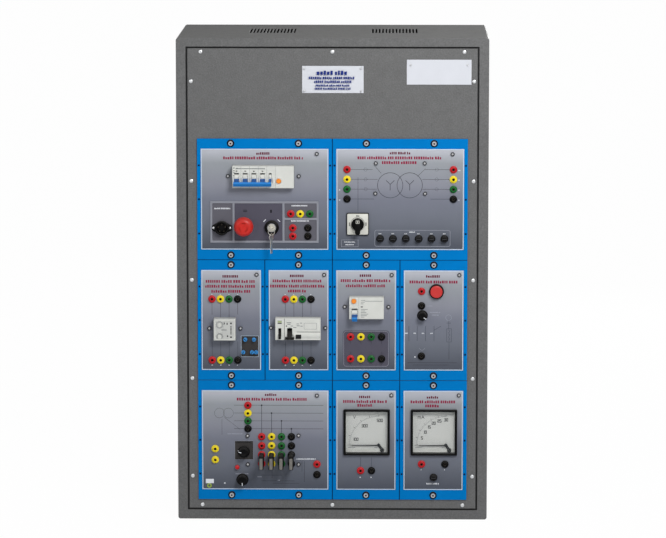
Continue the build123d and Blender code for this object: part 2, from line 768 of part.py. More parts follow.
def breaker_toggle_x():
    """Centres of the breaker's toggles, with the link toggle last."""
    left = spot("supply", BREAKER_AT)[0] - BREAKER_WIDTH / 2
    poles = [left + POLE_WIDTH * (i + 0.5) for i in range(BREAKER_POLES)]
    return poles + [left + BREAKER_LINK_AT]


def breaker_span():
    """Ends of the hollow behind the breaker's toggles."""
    centres = breaker_toggle_x()
    return centres[0] - TOGGLE_WIDTH / 2 - 1, centres[-1] + LINK_WIDTH / 2 + 1


def breaker_body():
    """Four-pole breaker with its residual current part."""
    z = spot("supply", BREAKER_AT)[1]
    centres = breaker_toggle_x()
    slots = [(x, TOGGLE_WIDTH) for x in centres[:-1]] + [(centres[-1], LINK_WIDTH)]
    body = device("supply", BREAKER_AT, BREAKER_WIDTH)
    body -= toggle_space(*breaker_span(), z, slots)
    return body - button_pocket(spot("supply", BREAKER_BUTTON_AT), BREAKER_BUTTON_RADIUS, NOSE_OUT)


def breaker_toggles():
    """Toggles of all poles on one shaft, joined by the tie bar."""
    z = spot("supply", BREAKER_AT)[1]
    centres = breaker_toggle_x()
    left, right = centres[0] - TOGGLE_WIDTH / 2 - 2, centres[-1] + LINK_WIDTH / 2
    part = toggle_shaft(*breaker_span(), z)
    for x in centres[:-1]:
        part += turned(x, z, lever(TOGGLE_WIDTH, TOGGLE_REACH))
    part += turned(centres[-1], z, lever(LINK_WIDTH, TOGGLE_REACH))
    bar = Pos(0, -TOGGLE_REACH, 0) * Box(right - left, TIE_BAR_DEPTH, TIE_BAR_HEIGHT)
    return part + turned((left + right) / 2, z, bar)


def button_pocket(at, radius, level):
    """Hollow that a push button slides in."""
    low = level - 2 * BUTTON_TRAVEL - FREE_CLEARANCE
    return drum(at, radius + FREE_CLEARANCE, low, level, FEW_SIDES)


def push_button(at, radius, level):
    """Round button in its pocket, one travel above the face."""
    return drum(at, radius, level - BUTTON_TRAVEL, level + BUTTON_TRAVEL, FEW_SIDES)


def relay_body():
    """Supervision relay with two dials in its face."""
    body = device("relay", RELAY_AT, RELAY_WIDTH)
    for place in RELAY_DIALS:
        at = spot("relay", place)
        body -= drum(at, RELAY_DIAL_RADIUS + FREE_CLEARANCE, NOSE_OUT - DIAL_POCKET, NOSE_OUT,
                     FEW_SIDES)
        body -= disc(at, DIAL_STEM_RADIUS + SHAFT_CLEARANCE, NOSE_OUT - DIAL_STEM_DEPTH, NOSE_OUT)
    return body


def relay_dial(place):
    """Screwdriver dial with a slot, on its stem."""
    at = spot("relay", place)
    low = NOSE_OUT - DIAL_POCKET + FREE_CLEARANCE
    dial = drum(at, RELAY_DIAL_RADIUS, low, NOSE_OUT + DIAL_RAISE, FEW_SIDES)
    dial += disc(at, DIAL_STEM_RADIUS, NOSE_OUT - DIAL_STEM_DEPTH + FREE_CLEARANCE, low)
    return dial - slab(at, 2 * RELAY_DIAL_RADIUS, DIAL_SLOT, NOSE_OUT, NOSE_OUT + DIAL_RAISE)


def roll(x0, x1, height, z):
    """Rounded lower edge of the reset part."""
    start = Plane(origin=(x0, LABEL_FACE - height, z), z_dir=(1, 0, 0))
    return extrude(start * RegularPolygon(ROLL_RADIUS, ROUND_SIDES), amount=x1 - x0)


def recloser_body():
    """Breaker with a motor reset part: two toggles and a rolled lower edge."""
    x, z = spot("recloser", RECLOSER_AT)
    lever_x, lever_z = spot("recloser", RECLOSER_LEVER_AT)
    toggle_x, toggle_z = spot("recloser", RECLOSER_TOGGLE_AT)
    body = device("recloser", RECLOSER_AT, RECLOSER_WIDTH)
    roll_x = x + ROLL_START, x + RECLOSER_WIDTH / 2
    roll_z = z - NOSE_HEIGHT / 2 + ROLL_RADIUS
    body += roll(*roll_x, NOSE_OUT - ROLL_RADIUS + ROLL_OUT, roll_z)
    body -= toggle_space(lever_x - RECLOSER_LEVER_WIDTH / 2 - 1,
                         lever_x + RECLOSER_LEVER_WIDTH / 2 + 1, lever_z,
                         [(lever_x, RECLOSER_LEVER_WIDTH)])
    body -= toggle_space(toggle_x - RECLOSER_TOGGLE_WIDTH / 2 - 1,
                         toggle_x + RECLOSER_TOGGLE_WIDTH / 2 + 1, toggle_z,
                         [(toggle_x, RECLOSER_TOGGLE_WIDTH)])
    return body


def recloser_lever():
    """Narrow lever of the single-pole part."""
    x, z = spot("recloser", RECLOSER_LEVER_AT)
    half = RECLOSER_LEVER_WIDTH / 2 + 1
    part = toggle_shaft(x - half, x + half, z)
    return part + turned(x, z, lever(RECLOSER_LEVER_WIDTH, RECLOSER_LEVER_REACH))


def recloser_toggle():
    """Toggle of the reset part with its wide grip."""
    x, z = spot("recloser", RECLOSER_TOGGLE_AT)
    half = RECLOSER_TOGGLE_WIDTH / 2 + 1
    part = toggle_shaft(x - half, x + half, z)
    part += turned(x, z, lever(RECLOSER_TOGGLE_WIDTH, RECLOSER_TOGGLE_REACH))
    grip = Pos(0, -RECLOSER_TOGGLE_REACH, 0) * Box(RECLOSER_GRIP_WIDTH, TOGGLE_THICKNESS,
                                                  TOGGLE_THICKNESS)
    return part + turned(x, z, grip)


def rcd_body():
    """Four-pole residual current switch with one toggle and a test button."""
    x, z = spot("rcd", RCD_TOGGLE_AT)
    half = RCD_TOGGLE_WIDTH / 2 + 1
    body = device("rcd", RCD_AT, RCD_WIDTH)
    body -= toggle_space(x - half, x + half, z, [(x, RCD_TOGGLE_WIDTH)])
    return body - button_pocket(spot("rcd", RCD_BUTTON_AT), RCD_BUTTON_RADIUS, NOSE_OUT)


def rcd_toggle():
    """Toggle of the residual current switch with a broad tip."""
    x, z = spot("rcd", RCD_TOGGLE_AT)
    half = RCD_TOGGLE_WIDTH / 2 + 1
    part = toggle_shaft(x - half, x + half, z)
    part += turned(x, z, lever(RCD_TOGGLE_WIDTH, RCD_TOGGLE_REACH))
    tip = Pos(0, -RCD_TOGGLE_REACH, 0) * Box(RCD_TOGGLE_WIDTH, TOGGLE_THICKNESS, RCD_TIP_HEIGHT)
    return part + turned(x, z, tip)


def rail_spans():
    """Each rail: module, left and right end from the module's centre, and its height."""
    spans = []
    for module, place, width in (("supply", BREAKER_AT, BREAKER_WIDTH),
                                 ("relay", RELAY_AT, RELAY_WIDTH),
                                 ("recloser", RECLOSER_AT, RECLOSER_WIDTH),
                                 ("rcd", RCD_AT, RCD_WIDTH)):
        half = width / 2 + RAIL_OVERHANG + 2 * BOLT_HEAD_RADIUS
        spans.append((module, place[0] - half, place[0] + half, place[1]))
    return spans


def din_rails():
    """Top-hat rails behind the plates."""
    rails = []
    edge, crown, depth = RAIL_WIDTH / 2, RAIL_CROWN / 2, RAIL_LEVEL - RAIL_DEPTH
    inner = crown - RAIL_SHEET
    points = [(RAIL_LEVEL + RAIL_SHEET, edge), (RAIL_LEVEL + RAIL_SHEET, inner),
              (depth + RAIL_SHEET, inner)]
    back = [(depth, crown), (RAIL_LEVEL, crown), (RAIL_LEVEL, edge)]
    for module, left, right, dz in rail_spans():
        x, z = module_centre(module)
        outline = [(h, z + dz + s) for h, s in points]
        outline += [(h, z + dz - s) for h, s in reversed(points)]
        outline += [(h, z + dz - s) for h, s in reversed(back)]
        outline += [(h, z + dz + s) for h, s in back]
        rails.append(along_x(outline, x + left, x + right))
    return rails


def rail_bolt_places():
    """Bolts beside each device, over the ends of its rail."""
    places = []
    for module, left, right, dz in rail_spans():
        places += [spot(module, (left + BOLT_HEAD_RADIUS + 1, dz)),
                   spot(module, (right - BOLT_HEAD_RADIUS - 1, dz))]
    return places


def bolt(at):
    """Hexagonal bolt head on a label."""
    return drum(at, BOLT_HEAD_RADIUS, 0, BOLT_HEAD_HEIGHT, 6)


def plate_bolts():
    """Hexagonal bolts on the labels and the spacers that carry the rails."""
    solids = [bolt(at) for at in rail_bolt_places()]
    for at in rail_bolt_places():
        solids.append(drum(at, SPACER_RADIUS, RAIL_LEVEL + RAIL_SHEET, PLATE_LOW, 6))
    solids += [bolt(spot("transformer", place)) for place in TRANSFORMER_BOLTS]
    solids += [bolt(spot("toroid", place)) for place in TOROID_BOLTS]
    for name in MODULES:
        corner = CORNER_STUD_SINGLE if MODULES[name][1] == 1 else CORNER_STUD_DOUBLE
        solids.append(bolt(spot(name, corner)))
    return solids


# Supply module

def control_frame():
    """Grid that divides the inlet, the emergency stop, the key switch and the sockets."""
    at = spot("supply", FRAME_AT)
    width, height = FRAME_SIZE
    frame = slab(at, width, height, 0, FRAME_HEIGHT)
    edges = [-width / 2 + FRAME_BORDER] + list(FRAME_POSTS) + [width / 2 - FRAME_BORDER]
    half = FRAME_BORDER / 2
    spans = [(edges[0], edges[1] - half), (edges[1] + half, edges[2] - half),
             (edges[2] + half, edges[3])]
    low, high = at[1] - height / 2 + FRAME_BORDER, at[1] + height / 2 - FRAME_BORDER
    shelf = spot("supply", (0, FRAME_SHELF))[1]
    for i, (left, right) in enumerate(spans):
        parts = [(low, shelf - half), (shelf + half, high)] if i == 2 else [(low, high)]
        for z0, z1 in parts:
            centre = at[0] + (left + right) / 2, (z0 + z1) / 2
            frame -= slab(centre, right - left, z1 - z0, 0, FRAME_HEIGHT)
    return frame


def mains_inlet():
    """Round inlet with a slanting flange, a recess and its pins."""
    x, z = at = spot("supply", INLET_AT)
    reach, end, middle = INLET_FLANGE_REACH, INLET_FLANGE_END, INLET_COLLAR_RADIUS
    outline = [(-reach, -end), (0, -middle), (reach, -end), (reach, end), (0, middle),
               (-reach, end)]
    flange = Rot(0, 0, INLET_FLANGE_TURN) * Polygon(*outline, align=None)
    body = extrude(front(x, z, 0) * flange, amount=INLET_FLANGE_HEIGHT)
    body += drum(at, INLET_COLLAR_RADIUS, 0, INLET_COLLAR_HEIGHT)
    body += drum(at, INLET_REAR_RADIUS, -INLET_REAR_DEPTH, 0)
    floor = INLET_COLLAR_HEIGHT - INLET_RECESS_DEPTH
    body -= drum(at, INLET_RECESS_RADIUS, floor, INLET_COLLAR_HEIGHT)
    for i in range(INLET_PINS):
        angle = radians(90 + i * 360 / INLET_PINS)
        pin = x + INLET_PIN_CIRCLE * cos(angle), z + INLET_PIN_CIRCLE * sin(angle)
        body += drum(pin, INLET_PIN_RADIUS, floor, floor + INLET_PIN_HEIGHT, 6)
    return body


def barrel(at):
    """Barrel in its plate hole and the square block behind it."""
    bottom = PLATE_LOW - BARREL_DEPTH
    part = drum(at, BARREL_RADIUS, bottom, 0)
    return part + slab(at, BLOCK_SIZE, BLOCK_SIZE, bottom - BLOCK_DEPTH, bottom)


def estop_base():
    """Collar, barrel and contact block of the emergency stop."""
    at = spot("supply", ESTOP_AT)
    base = barrel(at) + drum(at, ESTOP_COLLAR_RADIUS, 0, ESTOP_COLLAR_HEIGHT)
    return base - drum(at, STEM_RADIUS + SHAFT_CLEARANCE, STEM_BOTTOM - ESTOP_TRAVEL - 1,
                       ESTOP_COLLAR_HEIGHT)


def estop_stem():
    """Stem that slides in the base, with a round spigot for the head."""
    at = spot("supply", ESTOP_AT)
    stem = drum(at, STEM_RADIUS, STEM_BOTTOM, ESTOP_HEAD_LOW)
    return stem + disc(at, ESTOP_SPIGOT_RADIUS, ESTOP_HEAD_LOW,
                       ESTOP_HEAD_LOW + ESTOP_SPIGOT_HEIGHT)


def estop_head():
    """Mushroom head that turns on the stem."""
    at = spot("supply", ESTOP_AT)
    low, radius = ESTOP_HEAD_LOW, ESTOP_HEAD_RADIUS
    top = low + ESTOP_HEAD_HEIGHT
    head = turned_drum(at, [(radius - ESTOP_UNDERCUT, low), (radius, low + ESTOP_RIM_LOW),
                            (radius, low + ESTOP_RIM_HIGH), (radius - ESTOP_CROWN, top)])
    return head - disc(at, ESTOP_SPIGOT_RADIUS + SHAFT_CLEARANCE, low,
                       low + ESTOP_SPIGOT_HEIGHT + FREE_CLEARANCE)


def key_switch_body():
    """Collar, barrel and contact block of the key switch."""
    at = spot("supply", KEY_AT)
    body = barrel(at) + drum(at, KEY_COLLAR_RADIUS, 0, KEY_COLLAR_HEIGHT)
    return body - disc(at, KEY_SPINDLE_RADIUS + SHAFT_CLEARANCE,
                       KEY_COLLAR_HEIGHT - KEY_SPINDLE_DEPTH, KEY_COLLAR_HEIGHT)


def key_outline(bow_centre, bow_radius, hole_centre, blade_width, blade_end):
    """Flat key: round bow with a ring hole and a blade that reaches down to blade_end."""
    sketch = Pos(0, bow_centre) * RegularPolygon(bow_radius, ROUND_SIDES)
    sketch += Pos(0, (bow_centre + blade_end) / 2) * Rectangle(blade_width, bow_centre - blade_end)
    sketch -= Pos(0, hole_centre) * RegularPolygon(KEY_HOLE_RADIUS, FEW_SIDES)
    return extrude(sketch, amount=KEY_THICKNESS / 2, both=True)


def switch_key():
    """Lock cylinder on its spindle and the key in it, turned to the left mark."""
    x, z = at = spot("supply", KEY_AT)
    low = KEY_COLLAR_HEIGHT + FREE_CLEARANCE
    top = low + KEY_CYLINDER_HEIGHT
    cylinder = drum(at, STEM_RADIUS, low, top)
    cylinder += disc(at, KEY_SPINDLE_RADIUS, KEY_COLLAR_HEIGHT - KEY_SPINDLE_DEPTH + 1, low)
    tip = top - KEY_BLADE_DEPTH
    slot = Box(KEY_BLADE_WIDTH + 2 * KEY_SLOT_CLEARANCE, KEY_THICKNESS + 2 * KEY_SLOT_CLEARANCE,
               KEY_BLADE_DEPTH + KEY_SLOT_CLEARANCE)
    slot = Pos(0, 0, top - (KEY_BLADE_DEPTH + KEY_SLOT_CLEARANCE) / 2) * slot
    key = Rot(90, 0, 0) * key_outline(KEY_BOW_CENTRE, KEY_BOW_RADIUS, KEY_HOLE_LEVEL,
                                      KEY_BLADE_WIDTH, tip)
    stand = Pos(x, LABEL_FACE, z) * Rot(90, 0, 0) * Rot(0, 0, 90 + KEY_REST_TURN)
    return [cylinder - stand * slot, stand * key]


def spare_key_ring():
    """Flat split ring through the key's bow with a spare key hanging on it."""
    x, z = spot("supply", KEY_AT)
    centre = x, z - RING_RADIUS
    low, high = KEY_HOLE_LEVEL - RING_THICKNESS / 2, KEY_HOLE_LEVEL + RING_THICKNESS / 2
    loop = drum(centre, RING_RADIUS + RING_THICKNESS / 2, low, high)
    loop -= drum(centre, RING_RADIUS - RING_THICKNESS / 2, low, high)
    hole = SPARE_BOW_RADIUS - SPARE_HOLE_INSET
    spare = key_outline(0, SPARE_BOW_RADIUS, hole, SPARE_BLADE_WIDTH, -SPARE_BLADE_LENGTH)
    hang = Pos(x, LABEL_FACE - KEY_HOLE_LEVEL, centre[1] - RING_RADIUS - hole)
    return [loop, hang * Rot(0, 0, 90 - SPARE_TURN) * Rot(90, 0, 0) * spare]


# Transformer and fuse controls

def cam_switch_body():
    """Face plate, boss, spindle and contact stack of the selector switch."""
    at = spot("transformer", CAM_AT)
    body = rounded_slab(at, CAM_PLATE_SIZE, CAM_PLATE_SIZE, CAM_PLATE_CORNER, 0, CAM_PLATE_HEIGHT)
    body += drum(at, CAM_BOSS_RADIUS, CAM_PLATE_HEIGHT, CAM_BOSS_HEIGHT)
    body += drum(at, CAM_NECK_RADIUS, PLATE_LOW, 0)
    body += slab(at, CAM_BLOCK_SIZE, CAM_BLOCK_SIZE, PLATE_LOW - CAM_BLOCK_DEPTH, PLATE_LOW)
    return body + disc(at, SPINDLE_RADIUS, CAM_BOSS_HEIGHT, CAM_BOSS_HEIGHT + SPINDLE_DEPTH)


def cam_switch_handle():
    """Handle with a grip that points down at rest."""
    x, z = at = spot("transformer", CAM_AT)
    low = CAM_BOSS_HEIGHT + FREE_CLEARANCE
    top = low + CAM_GRIP_HEIGHT
    handle = drum(at, CAM_HANDLE_RADIUS, low, low + CAM_DISC_HEIGHT)
    end = x, z + CAM_HANDLE_RADIUS - CAM_GRIP_LENGTH
    grip = slab((x, (z + end[1]) / 2), CAM_GRIP_WIDTH, z - end[1], low, top)
    grip += drum(at, CAM_GRIP_HUB_RADIUS, low, top)
    grip += drum(end, CAM_GRIP_WIDTH / 2, low, top, FEW_SIDES)
    return handle + grip - disc(at, SPINDLE_RADIUS + SHAFT_CLEARANCE, low,
                                low + SPINDLE_DEPTH + FREE_CLEARANCE)


def fuse_places():
    """Places of the six fuse holders."""
    return row_of("transformer", FUSE_FIRST[0], FUSE_PITCH, FUSE_FIRST[1], FUSE_COUNT)


def fuse_body(at):
    """Flange of a fuse holder with the post that its cap turns on."""
    body = drum(at, FUSE_BODY_RADIUS, 0, FUSE_BODY_HEIGHT, FEW_SIDES)
    top = FUSE_BODY_HEIGHT + FUSE_POST_HEIGHT
    return body + drum(at, FUSE_POST_RADIUS - SHAFT_CLEARANCE, FUSE_BODY_HEIGHT, top, HEAD_SIDES)


def fuse_cap(at):
    """Cap of a fuse holder with a screwdriver slot."""
    low = FUSE_BODY_HEIGHT + FREE_CLEARANCE
    top = low + FUSE_CAP_HEIGHT
    cap = drum(at, FUSE_CAP_RADIUS, low, top, FEW_SIDES)
    cap -= slab(at, 2 * FUSE_CAP_RADIUS, FUSE_CAP_SLOT, top - FUSE_SLOT_DEPTH, top)
    corner = (FUSE_POST_RADIUS + SHAFT_CLEARANCE) / cos(radians(180 / HEAD_SIDES))
    return cap - drum(at, corner, low, FUSE_BODY_HEIGHT + FUSE_POST_HEIGHT + FREE_CLEARANCE,
                      HEAD_SIDES)


# Fault and toroid controls

def fault_button_bezel():
    """Round bezel with the pocket of the flush button."""
    at = spot("fault", FAULT_BUTTON_AT)
    body = drum(at, BEZEL_RADIUS, 0, BEZEL_HEIGHT) + barrel(at)
    return body - drum(at, FAULT_BUTTON_RADIUS + FREE_CLEARANCE, FAULT_BUTTON_FLOOR, BEZEL_HEIGHT)


def fault_button():
    """Flush illuminated button."""
    low = FAULT_BUTTON_FLOOR + FAULT_BUTTON_TRAVEL + FREE_CLEARANCE
    return drum(spot("fault", FAULT_BUTTON_AT), FAULT_BUTTON_RADIUS, low, FAULT_BUTTON_HEIGHT)


def knob(at, radius, bearing):
    """Knob with a skirt, a ribbed pointer and a shaft through the plate."""
    x, z = at
    low = FREE_CLEARANCE
    body = drum(at, radius, low, KNOB_SKIRT_HEIGHT)
    body += drum(at, radius - KNOB_SKIRT_STEP, KNOB_SKIRT_HEIGHT, KNOB_HEIGHT)
    rib = slab((x, z + radius / 2), KNOB_RIB_WIDTH, radius, KNOB_SKIRT_HEIGHT,
               KNOB_HEIGHT + KNOB_RIB_RAISE)
    body += Pos(x, 0, z) * Rot(0, bearing, 0) * Pos(-x, 0, -z) * rib
    return body + disc(at, SPINDLE_RADIUS, PLATE_LOW - SPINDLE_DEPTH, low)


def indicator_led():
    """Red lamp lens."""
    at = spot("toroid", LED_AT)
    return drum(at, LED_RADIUS, 0, LED_HEIGHT, FEW_SIDES)


def bridging_plug(column):
    """Two-pin plug across the lower two sockets of one column."""
    x, top = spot("toroid", (MATRIX_AT[0] + column * MATRIX_PITCH_X,
                             MATRIX_AT[1] - 2 * MATRIX_PITCH_Z))
    centre = x, top - MATRIX_PITCH_Z / 2
    low = SOCKET_HEIGHT + PLUG_GAP
    plug = slab(centre, PLUG_WIDTH, PLUG_HEIGHT, low, PLUG_OUT)
    middle = low + PLUG_OUT
    for side in (-1, 1):
        edge = centre[0] + side * PLUG_WIDTH / 2, centre[1]
        plug -= slab(edge, 2 * PLUG_WAIST, PLUG_HEIGHT, middle * 0.4, middle * 0.62)
    for z in (top, top - MATRIX_PITCH_Z):
        plug += drum((x, z), SOCKET_BORE_RADIUS - SHAFT_CLEARANCE, SOCKET_HEIGHT - PLUG_PIN_LENGTH,
                     low, FEW_SIDES)
    return plug


# Meters

def meter_case(module):
    """Square meter: bezel, hollow for the dial and housing behind the plate."""
    at = spot(module, METER_AT)
    case = slab(at, METER_SIZE, METER_SIZE, 0, METER_BEZEL_HEIGHT)
    case += slab(at, METER_HOUSING, METER_HOUSING, -METER_HOUSING_DEPTH, 0)
    inside = METER_SIZE - 2 * METER_BEZEL_WALL
    floor = METER_DIAL_LEVEL - METER_DIAL_THICKNESS
    case -= slab(at, inside, inside, floor, METER_BEZEL_HEIGHT)
    pivot = at[0] + METER_PIVOT[0], at[1] + METER_PIVOT[1]
    return case + disc(pivot, PIVOT_PIN_RADIUS, floor - 1, POINTER_LEVEL + POINTER_THICKNESS)


def meter_dial(module):
    """Scale plate of a meter."""
    at = spot(module, METER_AT)
    inside = METER_SIZE - 2 * METER_BEZEL_WALL - 2 * HOLE_CLEARANCE
    dial = slab(at, inside, inside, METER_DIAL_LEVEL - METER_DIAL_THICKNESS, METER_DIAL_LEVEL)
    pivot = at[0] + METER_PIVOT[0], at[1] + METER_PIVOT[1]
    return dial - drum(pivot, PIVOT_PIN_RADIUS + FREE_CLEARANCE,
                       METER_DIAL_LEVEL - METER_DIAL_THICKNESS, METER_DIAL_LEVEL, HEAD_SIDES)


def meter_window(module):
    """Clear front of a meter."""
    at = spot(module, METER_AT)
    inside = METER_SIZE - 2 * METER_BEZEL_WALL - SHAFT_CLEARANCE
    return slab(at, inside, inside, METER_WINDOW_LEVEL,
                METER_WINDOW_LEVEL + METER_WINDOW_THICKNESS)


def meter_pointer(module):
    """Needle that points left at rest, with a short tail."""
    at = spot(module, METER_AT)
    pivot = at[0] + METER_PIVOT[0], at[1] + METER_PIVOT[1]
    top = POINTER_LEVEL + POINTER_THICKNESS
    needle = drum(pivot, POINTER_HUB_RADIUS, POINTER_LEVEL, top, FEW_SIDES)
    arm = pivot[0] - POINTER_LENGTH / 2, pivot[1]
    needle += slab(arm, POINTER_LENGTH, POINTER_WIDTH, POINTER_LEVEL, top)
    return needle - disc(pivot, PIVOT_PIN_RADIUS + SHAFT_CLEARANCE, POINTER_LEVEL, top)


# Inside

def supply_transformer():
    """Three-limb core with its coils, standing on the cabinet's floor."""
    z0, z1 = SHEET + CORE_FOOT, SHEET + CORE_FOOT + CORE_HEIGHT
    y0, y1 = CORE_Y - CORE_DEPTH / 2, CORE_Y + CORE_DEPTH / 2
    half = CORE_WIDTH / 2
    core = block(-half, half, y0, y1, z0, z1)
    gap = (CORE_WIDTH - 3 * CORE_LIMB) / 2
    for side in (-1, 1):
        centre = side * (CORE_LIMB + gap) / 2
        core -= block(centre - gap / 2, centre + gap / 2, y0, y1, z0 + CORE_LIMB, z1 - CORE_LIMB)
    coil_reach = gap / 2 - COIL_GAP
    for i in (-1, 0, 1):
        x = i * (CORE_LIMB + gap)
        x0, x1 = x - CORE_LIMB / 2 - coil_reach, x + CORE_LIMB / 2 + coil_reach
        core += block(x0, x1, y0 - COIL_WALL, y1 + COIL_WALL, z0 + CORE_LIMB + COIL_GAP,
                      z1 - CORE_LIMB - COIL_GAP)
    for x in (-half + CORE_FOOT, half - CORE_FOOT):
        core += block(x - CORE_FOOT, x + CORE_FOOT, y0 - COIL_WALL, y1 + COIL_WALL, SHEET, z0)
    return core


def plates_of(units):
    """Module plates of one width."""
    return [plate for plate, name in zip(module_plates(), MODULES) if MODULES[name][1] == units]


def nodes():
    """Every node with its solids."""
    sockets = socket_places()
    fuses = fuse_places()
    meter_fuse = spot("ammeter", AMMETER_FUSE_AT)
    parts = {
        "cabinet_shell": cabinet_shell(),
        "rear_cover": rear_cover(),
        "front_panel": front_panel(),
        "case_screws": case_screws(),
        "double_module_plates": plates_of(2),
        "single_module_plates": plates_of(1),
        "label_plates": label_plates(),
        "module_screws": module_screws(),
        "plate_bolts": plate_bolts(),
        "din_rails": din_rails(),
        "supply_transformer": supply_transformer(),
        "breaker_body": breaker_body(),
        "breaker_toggles": breaker_toggles(),
        "breaker_test_button": push_button(spot("supply", BREAKER_BUTTON_AT),
                                           BREAKER_BUTTON_RADIUS, NOSE_OUT),
        "control_frame": control_frame(),
        "mains_inlet": mains_inlet(),
        "estop_base": estop_base(),
        "estop_stem": estop_stem(),
        "estop_head": estop_head(),
        "key_switch_body": key_switch_body(),
        "switch_key": switch_key(),
        "spare_key_ring": spare_key_ring(),
        "cam_switch_body": cam_switch_body(),
        "cam_switch_handle": cam_switch_handle(),
        "fuse_bodies": [fuse_body(at) for at in fuses + [meter_fuse]],
        "relay_body": relay_body(),
        "relay_dial_upper": relay_dial(RELAY_DIALS[0]),
        "relay_dial_lower": relay_dial(RELAY_DIALS[1]),
        "recloser_body": recloser_body(),
        "recloser_lever": recloser_lever(),
        "recloser_toggle": recloser_toggle(),
        "rcd_body": rcd_body(),
        "rcd_toggle": rcd_toggle(),
        "rcd_test_button": push_button(spot("rcd", RCD_BUTTON_AT), RCD_BUTTON_RADIUS, NOSE_OUT),
        "fault_button_bezel": fault_button_bezel(),
        "fault_button": fault_button(),
        "fault_knob": knob(spot("fault", FAULT_KNOB_AT), SMALL_KNOB_RADIUS, FAULT_KNOB_BEARING),
        "sensitivity_knob": knob(spot("toroid", SENSITIVITY_KNOB_AT), LARGE_KNOB_RADIUS,
                                 SENSITIVITY_KNOB_BEARING),
        "delay_knob": knob(spot("toroid", DELAY_KNOB_AT), LARGE_KNOB_RADIUS, DELAY_KNOB_BEARING),
        "indicator_led": indicator_led(),
        "blue_sockets": blue_sockets(),
        "meter_cases": [meter_case(m) for m in METERS] + [meter_dial(m) for m in METERS],
        "meter_windows": [meter_window(m) for m in METERS],
        "voltmeter_pointer": meter_pointer("voltmeter"),
        "ammeter_pointer": meter_pointer("ammeter"),
        "meter_fuse_cap": fuse_cap(meter_fuse),
    }
    for colour, places in sockets.items():
        parts[colour + "_sockets"] = [socket(at) for at in places]
    for i, at in enumerate(fuses):
        parts[f"fuse_cap_{i + 1}"] = fuse_cap(at)
    for i in range(PLUG_COUNT):
        parts[f"bridging_plug_{i + 1}"] = bridging_plug(i)
    return parts


def solids_of(piece):
    """All solids of a shape or of a list of shapes."""
    if isinstance(piece, (list, tuple)):
        return [solid for item in piece for solid in solids_of(item)]
    return list(piece.solids())


def main():
    os.makedirs("parts", exist_ok=True)
    for name, piece in nodes().items():
        solids = solids_of(piece)
        shape = solids[0] if len(solids) == 1 else Compound(children=solids)
        shape.label = name
        export_step(shape, f"parts/{name}.step")


if __name__ == "__main__":
    main()
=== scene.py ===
"""Dressed model of an electrical fault trainer: a steel cabinet with nine plug-in modules."""
import random
from math import cos, hypot, pi, radians, sin

import bmesh
import bpy
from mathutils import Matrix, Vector


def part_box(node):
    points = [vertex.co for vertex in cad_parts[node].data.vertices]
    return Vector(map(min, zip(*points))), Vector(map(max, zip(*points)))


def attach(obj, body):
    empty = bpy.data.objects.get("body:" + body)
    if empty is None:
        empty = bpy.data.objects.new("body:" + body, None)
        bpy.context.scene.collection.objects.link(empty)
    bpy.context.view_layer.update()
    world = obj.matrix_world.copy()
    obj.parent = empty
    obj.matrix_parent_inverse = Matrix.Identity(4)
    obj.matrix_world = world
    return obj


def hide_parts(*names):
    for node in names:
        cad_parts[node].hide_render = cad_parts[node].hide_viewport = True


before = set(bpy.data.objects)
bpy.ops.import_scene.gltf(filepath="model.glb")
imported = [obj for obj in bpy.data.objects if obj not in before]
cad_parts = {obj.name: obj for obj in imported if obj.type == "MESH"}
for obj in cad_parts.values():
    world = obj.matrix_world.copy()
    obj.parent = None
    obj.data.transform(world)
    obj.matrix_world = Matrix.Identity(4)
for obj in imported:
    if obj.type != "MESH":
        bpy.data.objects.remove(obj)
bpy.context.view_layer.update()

# ---------------- sizes, in millimetres
MM = 0.001
LABEL_Y = -177.8
UNIT_WIDTH = 139.0
ROW_HEIGHT = 251.0
BLOCK_BOTTOM = 41.5
LABEL_HALF_HEIGHT = 104.2
MODULES = {
    "supply": (0, 2, 0), "transformer": (2, 2, 0), "relay": (0, 1, 1), "recloser": (1, 1, 1),
    "rcd": (2, 1, 1), "fault": (3, 1, 1), "toroid": (0, 2, 2), "voltmeter": (2, 1, 2),
    "ammeter": (3, 1, 2),
}
PRINT = 0.12
NOSE_FACE = 20.0
NOSE_HEIGHT = 44.4
POLE_PITCH = 17.7
METER_CENTRE = (1.4, 17.3)
DIAL_LEVEL = -6.0
SCALE_RADIUS = 60.5


def spot(module, dx, dz):
    """Place on a module, given from its centre."""
    column, units, row = MODULES[module]
    return (column + units / 2 - 2) * UNIT_WIDTH + dx, BLOCK_BOTTOM + (2.5 - row) * ROW_HEIGHT + dz


def polar(at, radius, turn):
    """Place on a circle."""
    return at[0] + radius * cos(turn), at[1] + radius * sin(turn)


def rectangle(at, width, height, corner=0.0, steps=5):
    """Outline of a rectangle, with round corners if asked."""
    w, h = width / 2 - corner, height / 2 - corner
    if not corner:
        return [(at[0] + x, at[1] + z) for x, z in ((-w, -h), (w, -h), (w, h), (-w, h))]
    return [(at[0] + sx * w + corner * cos((quarter + i / steps) * pi / 2),
             at[1] + sz * h + corner * sin((quarter + i / steps) * pi / 2))
            for quarter, (sx, sz) in enumerate(((1, 1), (-1, 1), (-1, -1), (1, -1)))
            for i in range(steps + 1)]


